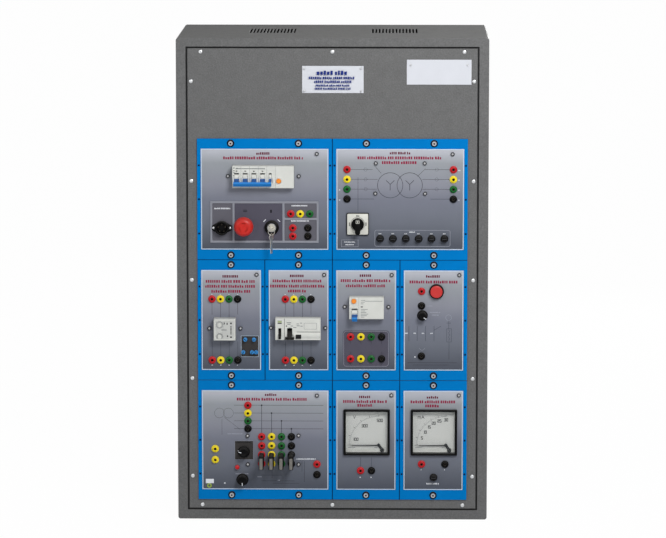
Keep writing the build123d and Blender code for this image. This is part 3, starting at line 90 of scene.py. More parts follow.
def shrunk(outline, inset):
    """Outline moved inwards all round."""
    count, moved = len(outline), []
    area = sum(outline[i - 1][0] * outline[i][1] - outline[i][0] * outline[i - 1][1]
               for i in range(count))
    side = 1 if area > 0 else -1
    for i in range(count):
        here, before, after = outline[i], outline[i - 1], outline[(i + 1) % count]
        a = Vector((here[0] - before[0], here[1] - before[1])).normalized()
        b = Vector((after[0] - here[0], after[1] - here[1])).normalized()
        normal = Vector((-(a.y + b.y), a.x + b.x))
        if normal.length < 1e-6:
            moved.append(here)
            continue
        normal.normalize()
        reach = inset / max(0.4, normal.dot(Vector((-a.y, a.x))))
        moved.append((here[0] + side * normal.x * reach, here[1] + side * normal.y * reach))
    return moved


class Form:
    """Mesh in millimetres: x to the right, out towards the viewer, z up."""

    def __init__(self):
        self.mesh = bmesh.new()

    def point(self, x, out, z):
        return self.mesh.verts.new((x * MM, (LABEL_Y - out) * MM, z * MM))

    def rings(self, rings, closed=False, caps=False):
        """Skin over rings of points, which may be single points, its ends closed if asked."""
        pairs = list(zip(rings, rings[1:])) + ([(rings[-1], rings[0])] if closed else [])
        steps = max(len(ring) for ring in rings)
        for low, high in pairs:
            for i in range(steps):
                j = (i + 1) % steps
                corners = list(dict.fromkeys((low[i % len(low)], low[j % len(low)],
                                              high[j % len(high)], high[i % len(high)])))
                if len(corners) > 2:
                    self.mesh.faces.new(corners)
        for ring in (rings[0], rings[-1]) if caps else ():
            self.mesh.faces.new(ring)

    def turned(self, at, profile, steps=32, flutes=0, flute=0.0):
        """Turned piece through (radius, out) points, fluted if asked."""
        rings = []
        for radius, out in profile:
            turns = [2 * pi * i / steps for i in range(steps)] if radius > 1e-6 else [0]
            ring = []
            for turn in turns:
                reach = radius - flute * (1 - cos(flutes * turn)) / 2 if flutes else radius
                x, z = polar(at, reach, turn)
                ring.append(self.point(x, out, z))
            rings.append(ring)
        self.rings(rings, closed=profile[0][0] > 1e-6 and profile[-1][0] > 1e-6)

    def outlines(self, *levels):
        """Rings of points from pairs of outline and level."""
        return [[self.point(x, out, z) for x, z in outline] for outline, out in levels]

    def plate(self, outline, low, high, edge=0.0):
        """Plate with an outline, its front edge rounded off."""
        levels = [(outline, low), (outline, high - edge)]
        if edge:
            levels += [(shrunk(outline, edge * 0.3), high - edge * 0.3),
                       (shrunk(outline, edge), high)]
        self.rings(self.outlines(*levels), caps=True)

    def frame_plate(self, outer, inner, low, high, edge=0.0):
        """Flat frame between two outlines with the same number of points."""
        self.rings(self.outlines(
            (outer, low), (outer, high - edge), (shrunk(outer, edge) if edge else outer, high),
            (shrunk(inner, -edge) if edge else inner, high), (inner, high - edge), (inner, low)),
            closed=True)

    def stroke(self, points, width, low=0.0, high=PRINT):
        """Printed line through points."""
        for (ax, az), (bx, bz) in zip(points, points[1:]):
            length = hypot(bx - ax, bz - az) or 1
            ux, uz = (bx - ax) / length * width / 2, (bz - az) / length * width / 2
            self.plate([(ax - ux + uz, az - uz - ux), (bx + ux + uz, bz + uz - ux),
                        (bx + ux - uz, bz + uz + ux), (ax - ux - uz, az - uz + ux)], low, high)

    def hoop(self, at, radius, width, low=0.0, high=PRINT, steps=40):
        """Printed circle."""
        inner, outer = radius - width / 2, radius + width / 2
        self.turned(at, [(inner, low), (inner, high), (outer, high), (outer, low)], steps)

    def arc(self, at, radius, first, last, width, low=0.0, high=PRINT, steps=24):
        """Printed arc between two angles in degrees."""
        turns = [radians(first + (last - first) * i / steps) for i in range(steps + 1)]
        self.stroke([polar(at, radius, turn) for turn in turns], width, low, high)

    def named(self, name):
        """Mesh of the form, its points merged and its faces turned outwards."""
        bmesh.ops.remove_doubles(self.mesh, verts=self.mesh.verts, dist=1e-7)
        bmesh.ops.recalc_face_normals(self.mesh, faces=self.mesh.faces)
        return taken(self.mesh, name)

    def made(self, name, finish, slot, body="cabinet", replaced=(), sharp=32):
        """Turns the form into a piece that rides on its body."""
        return settled(name, self.named(name), body, [finish], replaced, sharp)


def taken(mesh, name):
    """Plain mesh out of one that is being worked on."""
    result = bpy.data.meshes.new(name)
    mesh.to_mesh(result)
    mesh.free()
    return result


def settled(name, mesh, body, finishes, replaced=(), sharp=32):
    """Object for a finished mesh, on its body and in its finishes."""
    mesh.materials.clear()
    for finish in finishes:
        mesh.materials.append(finish)
    mesh.shade_smooth()
    mesh.set_sharp_from_angle(angle=radians(sharp))
    piece = bpy.data.objects.new(name, mesh)
    bpy.context.scene.collection.objects.link(piece)
    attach(piece, body)
    if replaced:
        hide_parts(*replaced)
    return piece


# ---------------- shader node groups
def add(tree, kind, values=None, **settings):
    """Adds a node; its values are numbers or links."""
    made = tree.nodes.new(kind)
    for key, value in settings.items():
        setattr(made, key, value)
    for key, value in (values or {}).items():
        if isinstance(value, bpy.types.NodeSocket):
            tree.links.new(value, made.inputs[key])
        else:
            made.inputs[key].default_value = value
    return made


def sums(tree, operation, a, b):
    """Arithmetic on two numbers or links."""
    return add(tree, "ShaderNodeMath", {0: a, 1: b}, operation=operation).outputs[0]


def effect(name, inputs, output, wiring):
    """Node group with named inputs and one output."""
    tree = bpy.data.node_groups.new(name, "ShaderNodeTree")
    for label, kind, value in inputs:
        socket = tree.interface.new_socket(label, in_out="INPUT", socket_type="NodeSocket" + kind)
        if value is not None:
            socket.default_value = value
    tree.interface.new_socket(output[0], in_out="OUTPUT", socket_type="NodeSocket" + output[1])
    enter, leave = tree.nodes.new("NodeGroupInput"), tree.nodes.new("NodeGroupOutput")
    tree.links.new(wiring(tree, enter.outputs), leave.inputs[0])
    return tree


def noise(tree, given, detail, scale=None, **more):
    """Noise at a scale, or as coarse as the group's size says."""
    scale = scale or sums(tree, "DIVIDE", 1.0, given["Size"])
    return add(tree, "ShaderNodeTexNoise", {"Vector": given["Place"], "Scale": scale,
                                            "Detail": detail, **more}).outputs[0]


def swing(tree, value, spread):
    """Value of 0 to 1 as a swing to both sides."""
    return sums(tree, "MULTIPLY", sums(tree, "SUBTRACT", value, 0.5), spread)


def patchy_wiring(tree, given):
    swung = swing(tree, noise(tree, given, 3.0), given["Spread"])
    value = sums(tree, "ADD", sums(tree, "MULTIPLY", swung, 2.5), 1.0)
    return add(tree, "ShaderNodeHueSaturation",
               {"Color": given["Colour"], "Value": value}).outputs[0]


def grain_wiring(tree, given):
    return noise(tree, given, 2.0)


def smudge_wiring(tree, given):
    swung = swing(tree, noise(tree, given, 4.0, 55.0, Roughness=0.6), given["Spread"])
    return add(tree, "ShaderNodeClamp", {"Value": sums(tree, "ADD", swung, given["Roughness"]),
                                         "Min": 0.05, "Max": 1.0}).outputs[0]


def dust_wiring(tree, given):
    up = add(tree, "ShaderNodeSeparateXYZ",
             {0: add(tree, "ShaderNodeNewGeometry").outputs["Normal"]}).outputs["Z"]
    lying = add(tree, "ShaderNodeClamp", {"Value": up}).outputs[0]
    share = sums(tree, "MULTIPLY", lying, noise(tree, given, 4.0, 90.0))
    share = sums(tree, "MULTIPLY", share, given["Amount"])
    mixed = add(tree, "ShaderNodeMix", {"Factor": share, "A": given["Colour"],
                                        "B": (0.5, 0.48, 0.44, 1)}, data_type="RGBA")
    return mixed.outputs["Result"]


PLACE = ("Place", "Vector", None)
PATCHY = effect("patchy_colour", [PLACE, ("Colour", "Color", None), ("Spread", "Float", 0.1),
                                  ("Size", "Float", 0.02)], ("Colour", "Color"), patchy_wiring)
GRAIN = effect("fine_grain", [PLACE, ("Size", "Float", 0.001)], ("Height", "Float"), grain_wiring)
SMUDGES = effect("handled_sheen", [PLACE, ("Roughness", "Float", 0.4), ("Spread", "Float", 0.2)],
                 ("Roughness", "Float"), smudge_wiring)
DUST = effect("settled_dust", [PLACE, ("Colour", "Color", None), ("Amount", "Float", 0.2)],
              ("Colour", "Color"), dust_wiring)


def group(tree, effect_tree, values):
    """Places a node group in a material."""
    return add(tree, "ShaderNodeGroup", values, node_tree=effect_tree).outputs[0]


def tint(red, green, blue):
    """Colour from screen values of 0 to 255."""
    return tuple(((v / 255 + 0.055) / 1.055) ** 2.4 if v > 10 else v / 255 / 12.92
                 for v in (red, green, blue)) + (1.0,)


def surface(name, colour, rough, metal=0.0, spread=0.1, patch=0.02, grain=0.0008, depth=0.00004,
            dust=0.1, shine=0.3, recolour=None, relief=None):
    """Procedural finish: uneven colour, handled sheen, fine grain and a little dust."""
    material = bpy.data.materials.new(name)
    material.use_nodes = True
    tree = material.node_tree
    shader = tree.nodes["Principled BSDF"]
    place = add(tree, "ShaderNodeTexCoord").outputs["Object"]
    base = recolour(tree, place) if recolour else tint(*colour)
    base = group(tree, PATCHY, {"Place": place, "Colour": base, "Spread": spread, "Size": patch})
    base = group(tree, DUST, {"Place": place, "Colour": base, "Amount": dust})
    tree.links.new(base, shader.inputs["Base Color"])
    sheen = group(tree, SMUDGES, {"Place": place, "Roughness": rough, "Spread": 0.25})
    tree.links.new(sheen, shader.inputs["Roughness"])
    height = relief(tree, place) if relief else group(tree, GRAIN, {"Place": place, "Size": grain})
    bump = add(tree, "ShaderNodeBump", {"Height": height, "Strength": 0.6, "Distance": depth})
    tree.links.new(bump.outputs["Normal"], shader.inputs["Normal"])
    shader.inputs["Metallic"].default_value = metal
    shader.inputs["Specular IOR Level"].default_value = shine
    material.diffuse_color = tint(*colour)
    return material


def hammered(tree, place):
    """Pebbled relief of hammertone paint."""
    pebbles = add(tree, "ShaderNodeTexVoronoi", {"Vector": place, "Scale": 420.0,
                                                 "Smoothness": 0.7}, feature="SMOOTH_F1")
    fine = group(tree, GRAIN, {"Place": place, "Size": 0.0016})
    return sums(tree, "ADD", pebbles.outputs["Distance"], sums(tree, "MULTIPLY", fine, 0.5))


def pebbled_colour(colour, spread):
    """Colour of hammertone paint, lighter and darker by the pebble."""
    def wiring(tree, place):
        return group(tree, PATCHY, {"Place": place, "Colour": tint(*colour), "Spread": spread,
                                    "Size": 0.0028})
    return wiring


def label_fade(tree, place):
    """Print that fades from pale at the top of each row's labels to dark at the foot."""
    height = add(tree, "ShaderNodeSeparateXYZ", {0: place}).outputs["Z"]
    low = (BLOCK_BOTTOM + ROW_HEIGHT / 2 - LABEL_HALF_HEIGHT) * MM
    share = sums(tree, "FLOORED_MODULO", sums(tree, "SUBTRACT", height, low), ROW_HEIGHT * MM)
    share = sums(tree, "DIVIDE", share, 2 * LABEL_HALF_HEIGHT * MM)
    ramp = add(tree, "ShaderNodeValToRGB", {"Fac": share})
    stops = [(0.03, (78, 82, 92)), (0.26, (104, 108, 118)), (0.5, (116, 119, 131)),
             (0.64, (134, 136, 146)), (0.86, (147, 151, 156)), (0.97, (176, 178, 186))]
    for position, colour in stops[2:]:
        ramp.color_ramp.elements.new(position)
    for element, (position, colour) in zip(ramp.color_ramp.elements, stops):
        element.position = position
        element.color = tint(*colour)
    return ramp.outputs["Color"]


def clear_window(name):
    """Clear acrylic, with faint smears."""
    material = surface(name, (190, 196, 200), 0.06, spread=0.02, dust=0.0, shine=0.08)
    material.node_tree.nodes["Principled BSDF"].inputs["Alpha"].default_value = 0.04
    return material


PAINT = (96, 96, 96)
def hammer_paint(name, shown, colour, rough=0.48, dust=0.15, shine=0.3):
    """Pebbled paint of the cabinet."""
    return surface(name, shown, rough, depth=0.0004, dust=dust, relief=hammered, shine=shine,
                   recolour=pebbled_colour(colour, 0.3))


HAMMERTONE = hammer_paint("hammertone_grey_paint", (116, 116, 115), PAINT)
PANEL_PAINT = hammer_paint("hammertone_panel_paint", (112, 112, 111), PAINT)
# Painted light: the top face gets a copy of the cabinet's grey paint, lighter in colour and duller,
# set to give it the brightness of its lighting.
TOP_FACE_LIT_PAINT = hammer_paint("hammertone_top_painted_light", (92, 92, 91), (114, 114, 113), 0.8, 0.1, 0.05)
LABEL_GREY = surface("faded_label_print", (120, 122, 132), 0.4, spread=0.03, patch=0.03,
                     recolour=label_fade, shine=0.12)
WINDOW = clear_window("clear_acrylic")

# Finishes as (name, colour, roughness, unevenness, size of patches, shine).
(SHADOW_GREY, MODULE_BLUE, PLATE_SIDE_SHADE_BLUE, GAP_SHADE_NAVY, PLATE_WHITE, WHITE_PRINT, PALE_PRINT, FAINT_PRINT,
 CRIMSON_PRINT, MAROON_PRINT, NAVY_PRINT, LINE_PRINT, PLUM_PRINT, SLATE_PRINT, BLACK_PRINT,
 BROWN_PRINT, LIME_PRINT, GREY_MARK, DEVICE_WHITE, DEVICE_GREY, PLUG_GREY, DARK_MARK_AND_SHADE, TOGGLE_BLUE,
 PALE_BLUE, BUTTON_ORANGE, FRAME_GREY, BLACK_PLASTIC, SOFT_BLACK, RED_PLASTIC, STOP_RED, ARROW_RED,
 BUTTON_RED, YELLOW_PLASTIC, GREEN_PLASTIC, BLUE_PLASTIC, CORE_VARNISH, DIAL_CREAM) = (
    surface(name, colour, rough, spread=spread, patch=patch, shine=shine)
    for name, colour, rough, spread, patch, shine in (
        # Painted shade: shadow grey darkens the cabinet's inner faces and the panel's side faces.
        ("shadow_grey_paint", (40, 40, 41), 0.7, 0.2, 0.004, 0.1),
        ("module_blue_paint", (0, 116, 188), 0.5, 0.05, 0.05, 0.03),
        # Painted shade: dark blue for the side faces of the module plates, where shade falls in the
        # gaps.
        ("plate_side_shade_blue", (0, 58, 112), 0.5, 0.1, 0.004, 0.06),
        # Painted shade: darker blue for strips over the gaps between plates; the plate rivets take
        # it too.
        ("dark_blue_painted_shade", (0, 34, 74), 0.6, 0.1, 0.004, 0.05),
        ("white_printed_plate", (206, 208, 214), 0.35, 0.03, 0.03, 0.3),
        ("white_print", (222, 225, 230), 0.5, 0.06, 0.004, 0.3),
        ("pale_print", (190, 208, 224), 0.5, 0.06, 0.004, 0.3),
        ("faint_print", (150, 153, 164), 0.5, 0.06, 0.004, 0.1),
        ("crimson_print", (138, 34, 64), 0.5, 0.1, 0.004, 0.1),
        ("maroon_print", (96, 26, 46), 0.5, 0.1, 0.004, 0.1),
        ("navy_print", (34, 50, 120), 0.5, 0.1, 0.004, 0.1),
        ("line_print", (48, 48, 55), 0.5, 0.12, 0.006, 0.1),
        ("plum_grey_print", (80, 78, 90), 0.5, 0.06, 0.02, 0.12),
        ("slate_print", (94, 93, 101), 0.5, 0.06, 0.02, 0.12),
        ("black_print", (20, 20, 22), 0.5, 0.12, 0.004, 0.1),
        ("dark_umber_print", (58, 56, 55), 0.5, 0.08, 0.01, 0.1),
        ("lime_print", (150, 175, 50), 0.5, 0.1, 0.004, 0.3),
        ("grey_marking", (112, 116, 118), 0.5, 0.1, 0.004, 0.3),
        ("moulded_white", (206, 207, 201), 0.45, 0.05, 0.012, 0.3),
        ("moulded_pale_grey", (190, 191, 187), 0.45, 0.06, 0.012, 0.3),
        ("plug_strip_grey", (112, 109, 104), 0.45, 0.08, 0.006, 0.3),
        # Dark marks on the devices, and painted shade in holes, slots and recesses.
        ("dark_mark_and_recess_shade", (22, 22, 24), 0.6, 0.2, 0.003, 0.1),
        ("toggle_blue_plastic", (0, 70, 134), 0.35, 0.08, 0.02, 0.3),
        ("tie_bar_blue_plastic", (14, 122, 200), 0.35, 0.08, 0.02, 0.3),
        ("orange_plastic", (236, 138, 44), 0.35, 0.1, 0.02, 0.3),
        ("frame_satin_grey", (132, 134, 143), 0.45, 0.06, 0.02, 0.3),
        ("black_plastic", (9, 9, 10), 0.42, 0.2, 0.02, 0.06),
        ("matt_black_marking", (58, 58, 60), 0.6, 0.15, 0.02, 0.1),
        ("red_plastic", (186, 24, 32), 0.35, 0.12, 0.02, 0.2),
        ("stop_head_red", (188, 34, 26), 0.4, 0.08, 0.02, 0.25),
        ("stop_head_arrow_red", (204, 56, 42), 0.4, 0.08, 0.02, 0.25),
        ("push_button_red", (192, 52, 50), 0.4, 0.08, 0.02, 0.25),
        ("yellow_plastic", (238, 214, 36), 0.35, 0.08, 0.02, 0.2),
        ("green_plastic", (22, 96, 42), 0.35, 0.12, 0.02, 0.15),
        ("blue_plastic", (58, 140, 206), 0.35, 0.1, 0.02, 0.2),
        ("core_varnish", (66, 60, 56), 0.5, 0.2, 0.006, 0.3),
        ("cream_dial", (200, 201, 196), 0.5, 0.03, 0.02, 0.3)))

# Metals as (name, colour, roughness, metal, unevenness, patches, grain, depth of grain).
(SCREW_STEEL, BOLT_STEEL, DULL_STEEL, CHROME, KEY_STEEL, CONTACT_IN_BORE_SHADE, RAIL_ZINC, SWITCH_SILVER) = (
    surface(*row[:4], spread=row[4], patch=row[5], grain=row[6], depth=row[7]) for row in (
        ("zinc_plated_steel", (200, 202, 204), 0.32, 0.9, 0.15, 0.003, 0.0003, 0.00002),
        ("dulled_bolt_steel", (64, 65, 68), 0.4, 0.7, 0.35, 0.002, 0.0003, 0.00003),
        ("dulled_screw_steel", (172, 172, 174), 0.36, 0.85, 0.25, 0.002, 0.0003, 0.00003),
        ("satin_chrome", (176, 178, 182), 0.28, 0.95, 0.12, 0.004, 0.0003, 0.00002),
        ("nickel_plated_key", (186, 184, 176), 0.3, 0.95, 0.15, 0.003, 0.0002, 0.00002),
        # Painted shade: the contact metal is darkened for the shade deep in the socket bores and
        # the inlet.
        ("contact_darkened_for_bore_shade", (64, 58, 50), 0.4, 0.85, 0.15, 0.002, 0.0008, 0.00004),
        ("passivated_rail", (170, 172, 168), 0.4, 0.8, 0.15, 0.01, 0.0008, 0.00004),
        ("silver_dial_plate", (198, 198, 190), 0.42, 0.15, 0.06, 0.02, 0.0008, 0.00004)))


# ---------------- setting out repeated forms
def setting_out_tree():
    """Tree that sets a form out on points, turned and stretched as each point says."""
    tree = bpy.data.node_groups.new("set_out_forms", "GeometryNodeTree")
    for label, kind in (("Points", "Geometry"), ("Form", "Object"), ("Turn spread", "Float"),
                        ("Seed", "Int"), ("Finish", "Material")):
        tree.interface.new_socket(label, in_out="INPUT", socket_type="NodeSocket" + kind)
    tree.interface.new_socket("Mesh", in_out="OUTPUT", socket_type="NodeSocketGeometry")
    given = tree.nodes.new("NodeGroupInput").outputs
    form = add(tree, "GeometryNodeObjectInfo", {"Object": given["Form"]}).outputs["Geometry"]
    stray = add(tree, "FunctionNodeRandomValue", {"Seed": given["Seed"]}, data_type="FLOAT")
    spread = swing(tree, stray.outputs[1], given["Turn spread"])
    turn, stretch = (add(tree, "GeometryNodeInputNamedAttribute", {"Name": name},
                         data_type=kind).outputs[0]
                     for name, kind in (("turn", "FLOAT"), ("stretch", "FLOAT_VECTOR")))
    rotation = add(tree, "ShaderNodeCombineXYZ", {"Y": sums(tree, "ADD", turn, spread)})
    placed = add(tree, "GeometryNodeInstanceOnPoints",
                 {"Points": given["Points"], "Instance": form, "Rotation": rotation.outputs[0],
                  "Scale": stretch}).outputs[0]
    real = add(tree, "GeometryNodeRealizeInstances", {"Geometry": placed}).outputs[0]
    painted = add(tree, "GeometryNodeSetMaterial", {"Geometry": real, "Material": given["Finish"]})
    tree.links.new(painted.outputs[0], tree.nodes.new("NodeGroupOutput").inputs[0])
    return tree


SETTING_OUT = setting_out_tree()


def set_out(name, form, places, finish, replaced=(), spread=0.0):
    """Sets a form out on the cabinet at places of (x, out, z, turn, stretch) as one piece."""
    bmesh.ops.translate(form.mesh, vec=(0, -LABEL_Y * MM, 0), verts=form.mesh.verts)
    cloud = bpy.data.meshes.new(name + "_places")
    cloud.from_pydata([(x * MM, (LABEL_Y - out) * MM, z * MM) for x, out, z, *_ in places], [], [])
    turns = cloud.attributes.new("turn", "FLOAT", "POINT")
    stretches = cloud.attributes.new("stretch", "FLOAT_VECTOR", "POINT")
    for i, place in enumerate(places):
        turns.data[i].value, stretches.data[i].vector = place[3:] or (0.0, (1, 1, 1))
    pattern = bpy.data.objects.new(name + "_pattern", form.named(name + "_pattern"))
    holder = bpy.data.objects.new(name + "_places", cloud)
    for item in (pattern, holder):
        bpy.context.scene.collection.objects.link(item)
    modifier = holder.modifiers.new("setting out", "NODES")
    modifier.node_group = SETTING_OUT
    values = {"Form": pattern, "Turn spread": spread, "Seed": 7, "Finish": finish}
    for item in SETTING_OUT.interface.items_tree:
        if item.in_out == "INPUT" and item.name in values:
            modifier[item.identifier] = values[item.name]
    ready = holder.evaluated_get(bpy.context.evaluated_depsgraph_get())
    outwards = bmesh.new()
    outwards.from_mesh(bpy.data.meshes.new_from_object(ready))
    bmesh.ops.recalc_face_normals(outwards, faces=outwards.faces)
    mesh = taken(outwards, name)
    for attribute in ("turn", "stretch"):
        if attribute in mesh.attributes:
            mesh.attributes.remove(mesh.attributes[attribute])
    for item in (pattern, holder):
        bpy.data.objects.remove(item)
    return settled(name, mesh, "cabinet", [finish], replaced)


def turned_form(*profile, steps=20, **more):
    """Turned form at the origin."""
    form = Form()
    form.turned((0, 0), profile, steps, **more)
    return form


def turned_piece(name, at, profile, steps, finish, slot, body="cabinet", replaced=(), sharp=32):
    """Single turned piece."""
    form = Form()
    form.turned(at, profile, steps)
    form.made(name, finish, slot, body, replaced, sharp)


def marks(name, at, rows, finish, slot="black_plastic", form=None, face=NOSE_FACE):
    """Flat marks on a face, as (x, z, width, height, rise) and if asked (corner, steps, edge)."""
    form = form or Form()
    for dx, dz, width, height, rise, *more in rows:
        corner, steps, edge = *more, *(0.0, 5, 0.0)[len(more):]
        form.plate(rectangle((at[0] + dx, at[1] + dz), width, height, corner, steps), face,
                   face + rise, edge)
    form.made(name, finish, slot)


# ---------------- pieces taken from the solids
def loose(node):
    """Copy of a solid's mesh with its points merged."""
    mesh = bmesh.new()
    mesh.from_mesh(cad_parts[node].data)
    bmesh.ops.remove_doubles(mesh, verts=mesh.verts, dist=2e-6)
    return mesh


def flattened(mesh, name):
    """Plain mesh with its flat faces joined."""
    bmesh.ops.dissolve_limit(mesh, angle_limit=radians(0.5), verts=mesh.verts, edges=mesh.edges)
    return taken(mesh, name)


def eased(node, edge, finishes, body="cabinet", choose=None, segments=2):
    """The solid itself with its edges eased, in finishes chosen face by face."""
    result = flattened(loose(node), node + "_eased")
    piece = settled(node + "_eased", result, body, finishes, (node,))
    if choose:
        for face in result.polygons:
            face.material_index = choose(face.center / MM, face.normal)
    bevelled(piece, edge, segments).harden_normals = True


def bevelled(piece, edge, segments=2):
    """Eases the sharp edges of a piece."""
    bevel = piece.modifiers.new("eased edges", "BEVEL")
    bevel.width, bevel.segments = edge * MM, segments
    bevel.limit_method, bevel.angle_limit = "ANGLE", radians(33)
    return bevel


def islands(mesh):
    """Separate bodies of a mesh, as lists of points."""
    seen, found = set(), []
    for start in mesh.verts:
        if start in seen:
            continue
        stack, part = [start], []
        seen.add(start)
        while stack:
            vert = stack.pop()
            part.append(vert)
            for edge in vert.link_edges:
                other = edge.other_vert(vert)
                if other not in seen:
                    seen.add(other)
                    stack.append(other)
        found.append(part)
    return found


def bodies(node):
    """A solid's separate bodies: centre x, lowest out, highest out, centre z."""
    mesh, found = loose(node), []
    for part in islands(mesh):
        points = [vert.co / MM for vert in part]
        low, high = ([pick(p[i] for p in points) for i in range(3)] for pick in (min, max))
        found.append(((low[0] + high[0]) / 2, LABEL_Y - high[1], LABEL_Y - low[1],
                      (low[2] + high[2]) / 2))
    mesh.free()
    return sorted(found, key=lambda body: (-round(body[3]), round(body[0])))


def seats(node):
    """Where a solid's separate bodies sit, as (x, out, z)."""
    return [(x, low, z) for x, low, _, z in bodies(node)]


def middle(node):
    """Centre, radius and levels of a round solid."""
    low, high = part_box(node)
    return (((low.x + high.x) / 2 / MM, (low.z + high.z) / 2 / MM), (high.x - low.x) / 2 / MM,
            LABEL_Y - high.y / MM, LABEL_Y - low.y / MM)


# ---------------- cabinet
def cabinet():
    """Sheet cabinet, cover, panel, module plates and what stands inside."""
    # Painted light and shade on the shell: its top face takes the lighter copy of the paint tuned
    # to its lighting, its inner faces the shadow grey.
    def paint_of(at, normal):
        if at.z > 998 and normal.z > 0.9:
            return 2
        return int(-174.9 < at.y < 174 and abs(at.x) < 318 and 2 < at.z < 998)

    # Painted shade: side faces take the darker finish for the shade in the gaps round the panel and
    # the plates.
    def is_edge(at, normal):
        return int(abs(normal.y) < 0.5)

    eased("cabinet_shell", 0.5, [HAMMERTONE, SHADOW_GREY, TOP_FACE_LIT_PAINT],
          choose=paint_of)
    eased("rear_cover", 0.5, [HAMMERTONE])
    eased("front_panel", 0.4, [PANEL_PAINT, SHADOW_GREY], choose=is_edge)
    for node in ("double_module_plates", "single_module_plates"):
        eased(node, 0.7, [MODULE_BLUE, PLATE_SIDE_SHADE_BLUE], choose=is_edge)
    eased("label_plates", 0.15, [LABEL_GREY, PLATE_WHITE],
          choose=lambda at, normal: int(at.z > 860))
    eased("din_rails", 0.2, [RAIL_ZINC])
    eased("supply_transformer", 1.0, [CORE_VARNISH])
    eased("control_frame", 1.0, [FRAME_GREY])


def fasteners():
    """Screws and bolts, set out where the solids have them."""
    outer = bodies("case_screws")
    front = [(x, low, z) for x, low, high, z in outer if low > -100]
    back = [(x, high, z, 0.0, (1, -1, 1)) for x, low, high, z in outer if low <= -100]
    set_out("case_screw_heads",
            turned_form((0, 0), (4.0, 0), (4.0, 0.5), (3.6, 1.2), (2.6, 1.65), (1.5, 1.75),
                        (1.35, 0.9), (0, 0.9)),
            front + back, SCREW_STEEL, ("case_screws",))
    places = seats("module_screws")
    set_out("module_screw_washers",
            turned_form((0, 0), (7.6, 0), (7.6, 0.8), (6.2, 2.6), (5.0, 3.0), (4.4, 1.8), (0, 1.8),
                        steps=28),
            places, BLACK_PLASTIC)
    set_out("module_screw_heads",
            turned_form((0, 1.0), (4.9, 1.0), (4.9, 5.0), (4.4, 5.8), (2.1, 5.9), (0, 5.9),
                        steps=28),
            places, DULL_STEEL, ("module_screws",))
    # Painted shade: a dark hexagon on each screw head stands for the shade in its hex socket.
    set_out("module_screw_hexes",
            turned_form((0, 5.2), (2.1, 5.2), (2.1, 5.95), (0, 5.95), steps=6),
            places, DARK_MARK_AND_SHADE, spread=3.0)
    bolts = [(x, low, z) for x, low, high, z in bodies("plate_bolts") if high > 1]
    set_out("hexagon_bolts",
            turned_form((0, 0), (4.6, 0), (4.6, 2.6), (4.1, 3.2), (0, 3.2), steps=6),
            bolts, BOLT_STEEL, ("plate_bolts",), spread=2.0)
    set_out("bolt_ends", turned_form((0, 3.1), (2.1, 3.1), (2.1, 3.5), (1.5, 3.9), (0, 3.9)), bolts,
            DULL_STEEL)


def sockets():
    """Collars and contacts of the plug sockets."""
    everywhere = []
    for colour, finish in (("red", RED_PLASTIC), ("yellow", YELLOW_PLASTIC),
                           ("green", GREEN_PLASTIC), ("black", BLACK_PLASTIC)):
        places = seats(colour + "_sockets")
        everywhere += places
        collar = turned_form((0, 0), (7.8, 0), (7.8, 1.6), (7.3, 2.4), (5.6, 2.8), (5.2, 3.2),
                             (5.2, 5.5), (4.8, 6.0), (3.3, 6.0), (3.0, 5.6), (3.0, 1.0), (0, 1.0),
                             steps=32)
        set_out(colour + "_socket_collars", collar, places, finish,
                (colour + "_sockets",))
    tube = turned_form((2.9, 1.0), (2.9, 3.2), (2.7, 3.4), (2.1, 3.4), (2.0, 3.2), (2.0, 0.6))
    # The contact tubes are darkened for the shade in the bores (painted shade).
    set_out("socket_contacts", tube, everywhere, CONTACT_IN_BORE_SHADE)
    # Painted shade: a dark disc at the foot of each contact tube stands for the shade deep in the
    # bore.
    set_out("socket_bores", turned_form((0, 0.5), (2.4, 0.5), (2.4, 1.4), (0, 1.4), steps=16),
            everywhere, DARK_MARK_AND_SHADE)
    places = seats("blue_sockets")
    cap = turned_form((0, 0), (4.2, 0), (4.2, 6.0), (3.6, 6.6), (3.6, 8.4), (3.0, 9.0), (1.4, 9.0),
                      (1.2, 5.0), (0, 5.0), steps=28, flutes=14, flute=0.3)
    set_out("blue_terminal_caps", cap, places, BLUE_PLASTIC, ("blue_sockets",))
    # Painted shade: a dark bar on each cap top stands for the shade in its slot.
    slot = Form()
    slot.plate(rectangle((0, 0), 5.6, 1.2), 8.9, 9.15)
    set_out("blue_terminal_slots", slot, places, DARK_MARK_AND_SHADE, spread=3.0)


# ---------------- prints
class Prints:
    """Thin prints of one colour on the labels, with rows of letter-sized blocks."""

    def __init__(self, name, finish):
        self.name, self.finish = name, finish
        self.form, self.letters = Form(), []

    def words(self, at, width, height, seed):
        """Row of letter-sized blocks that stands for a line of small print."""
        draw = random.Random(seed)
        x, end = at[0] - width / 2, at[0] + width / 2
        left = draw.randint(4, 9)
        while x < end:
            wide = height * draw.uniform(0.42, 0.66)
            tall = height * draw.choice((1.0, 1.0, 1.0, 0.78))
            if x + wide > end:
                break
            self.letters.append((x + wide / 2, 0.0, at[1] + (tall - height) / 2, 0.0,
                                 (wide, 1.0, tall)))
            left -= 1
            x += wide + height * (0.24 if left else 0.55)
            if not left:
                left = draw.randint(3, 9)

    def done(self):
        if len(self.form.mesh.faces):
            self.form.made(self.name, self.finish, "label_grey")
        if self.letters:
            block = Form()
            block.plate(rectangle((0, 0), 1, 1), 0, PRINT)
            set_out(self.name + "_words", block, self.letters, self.finish)


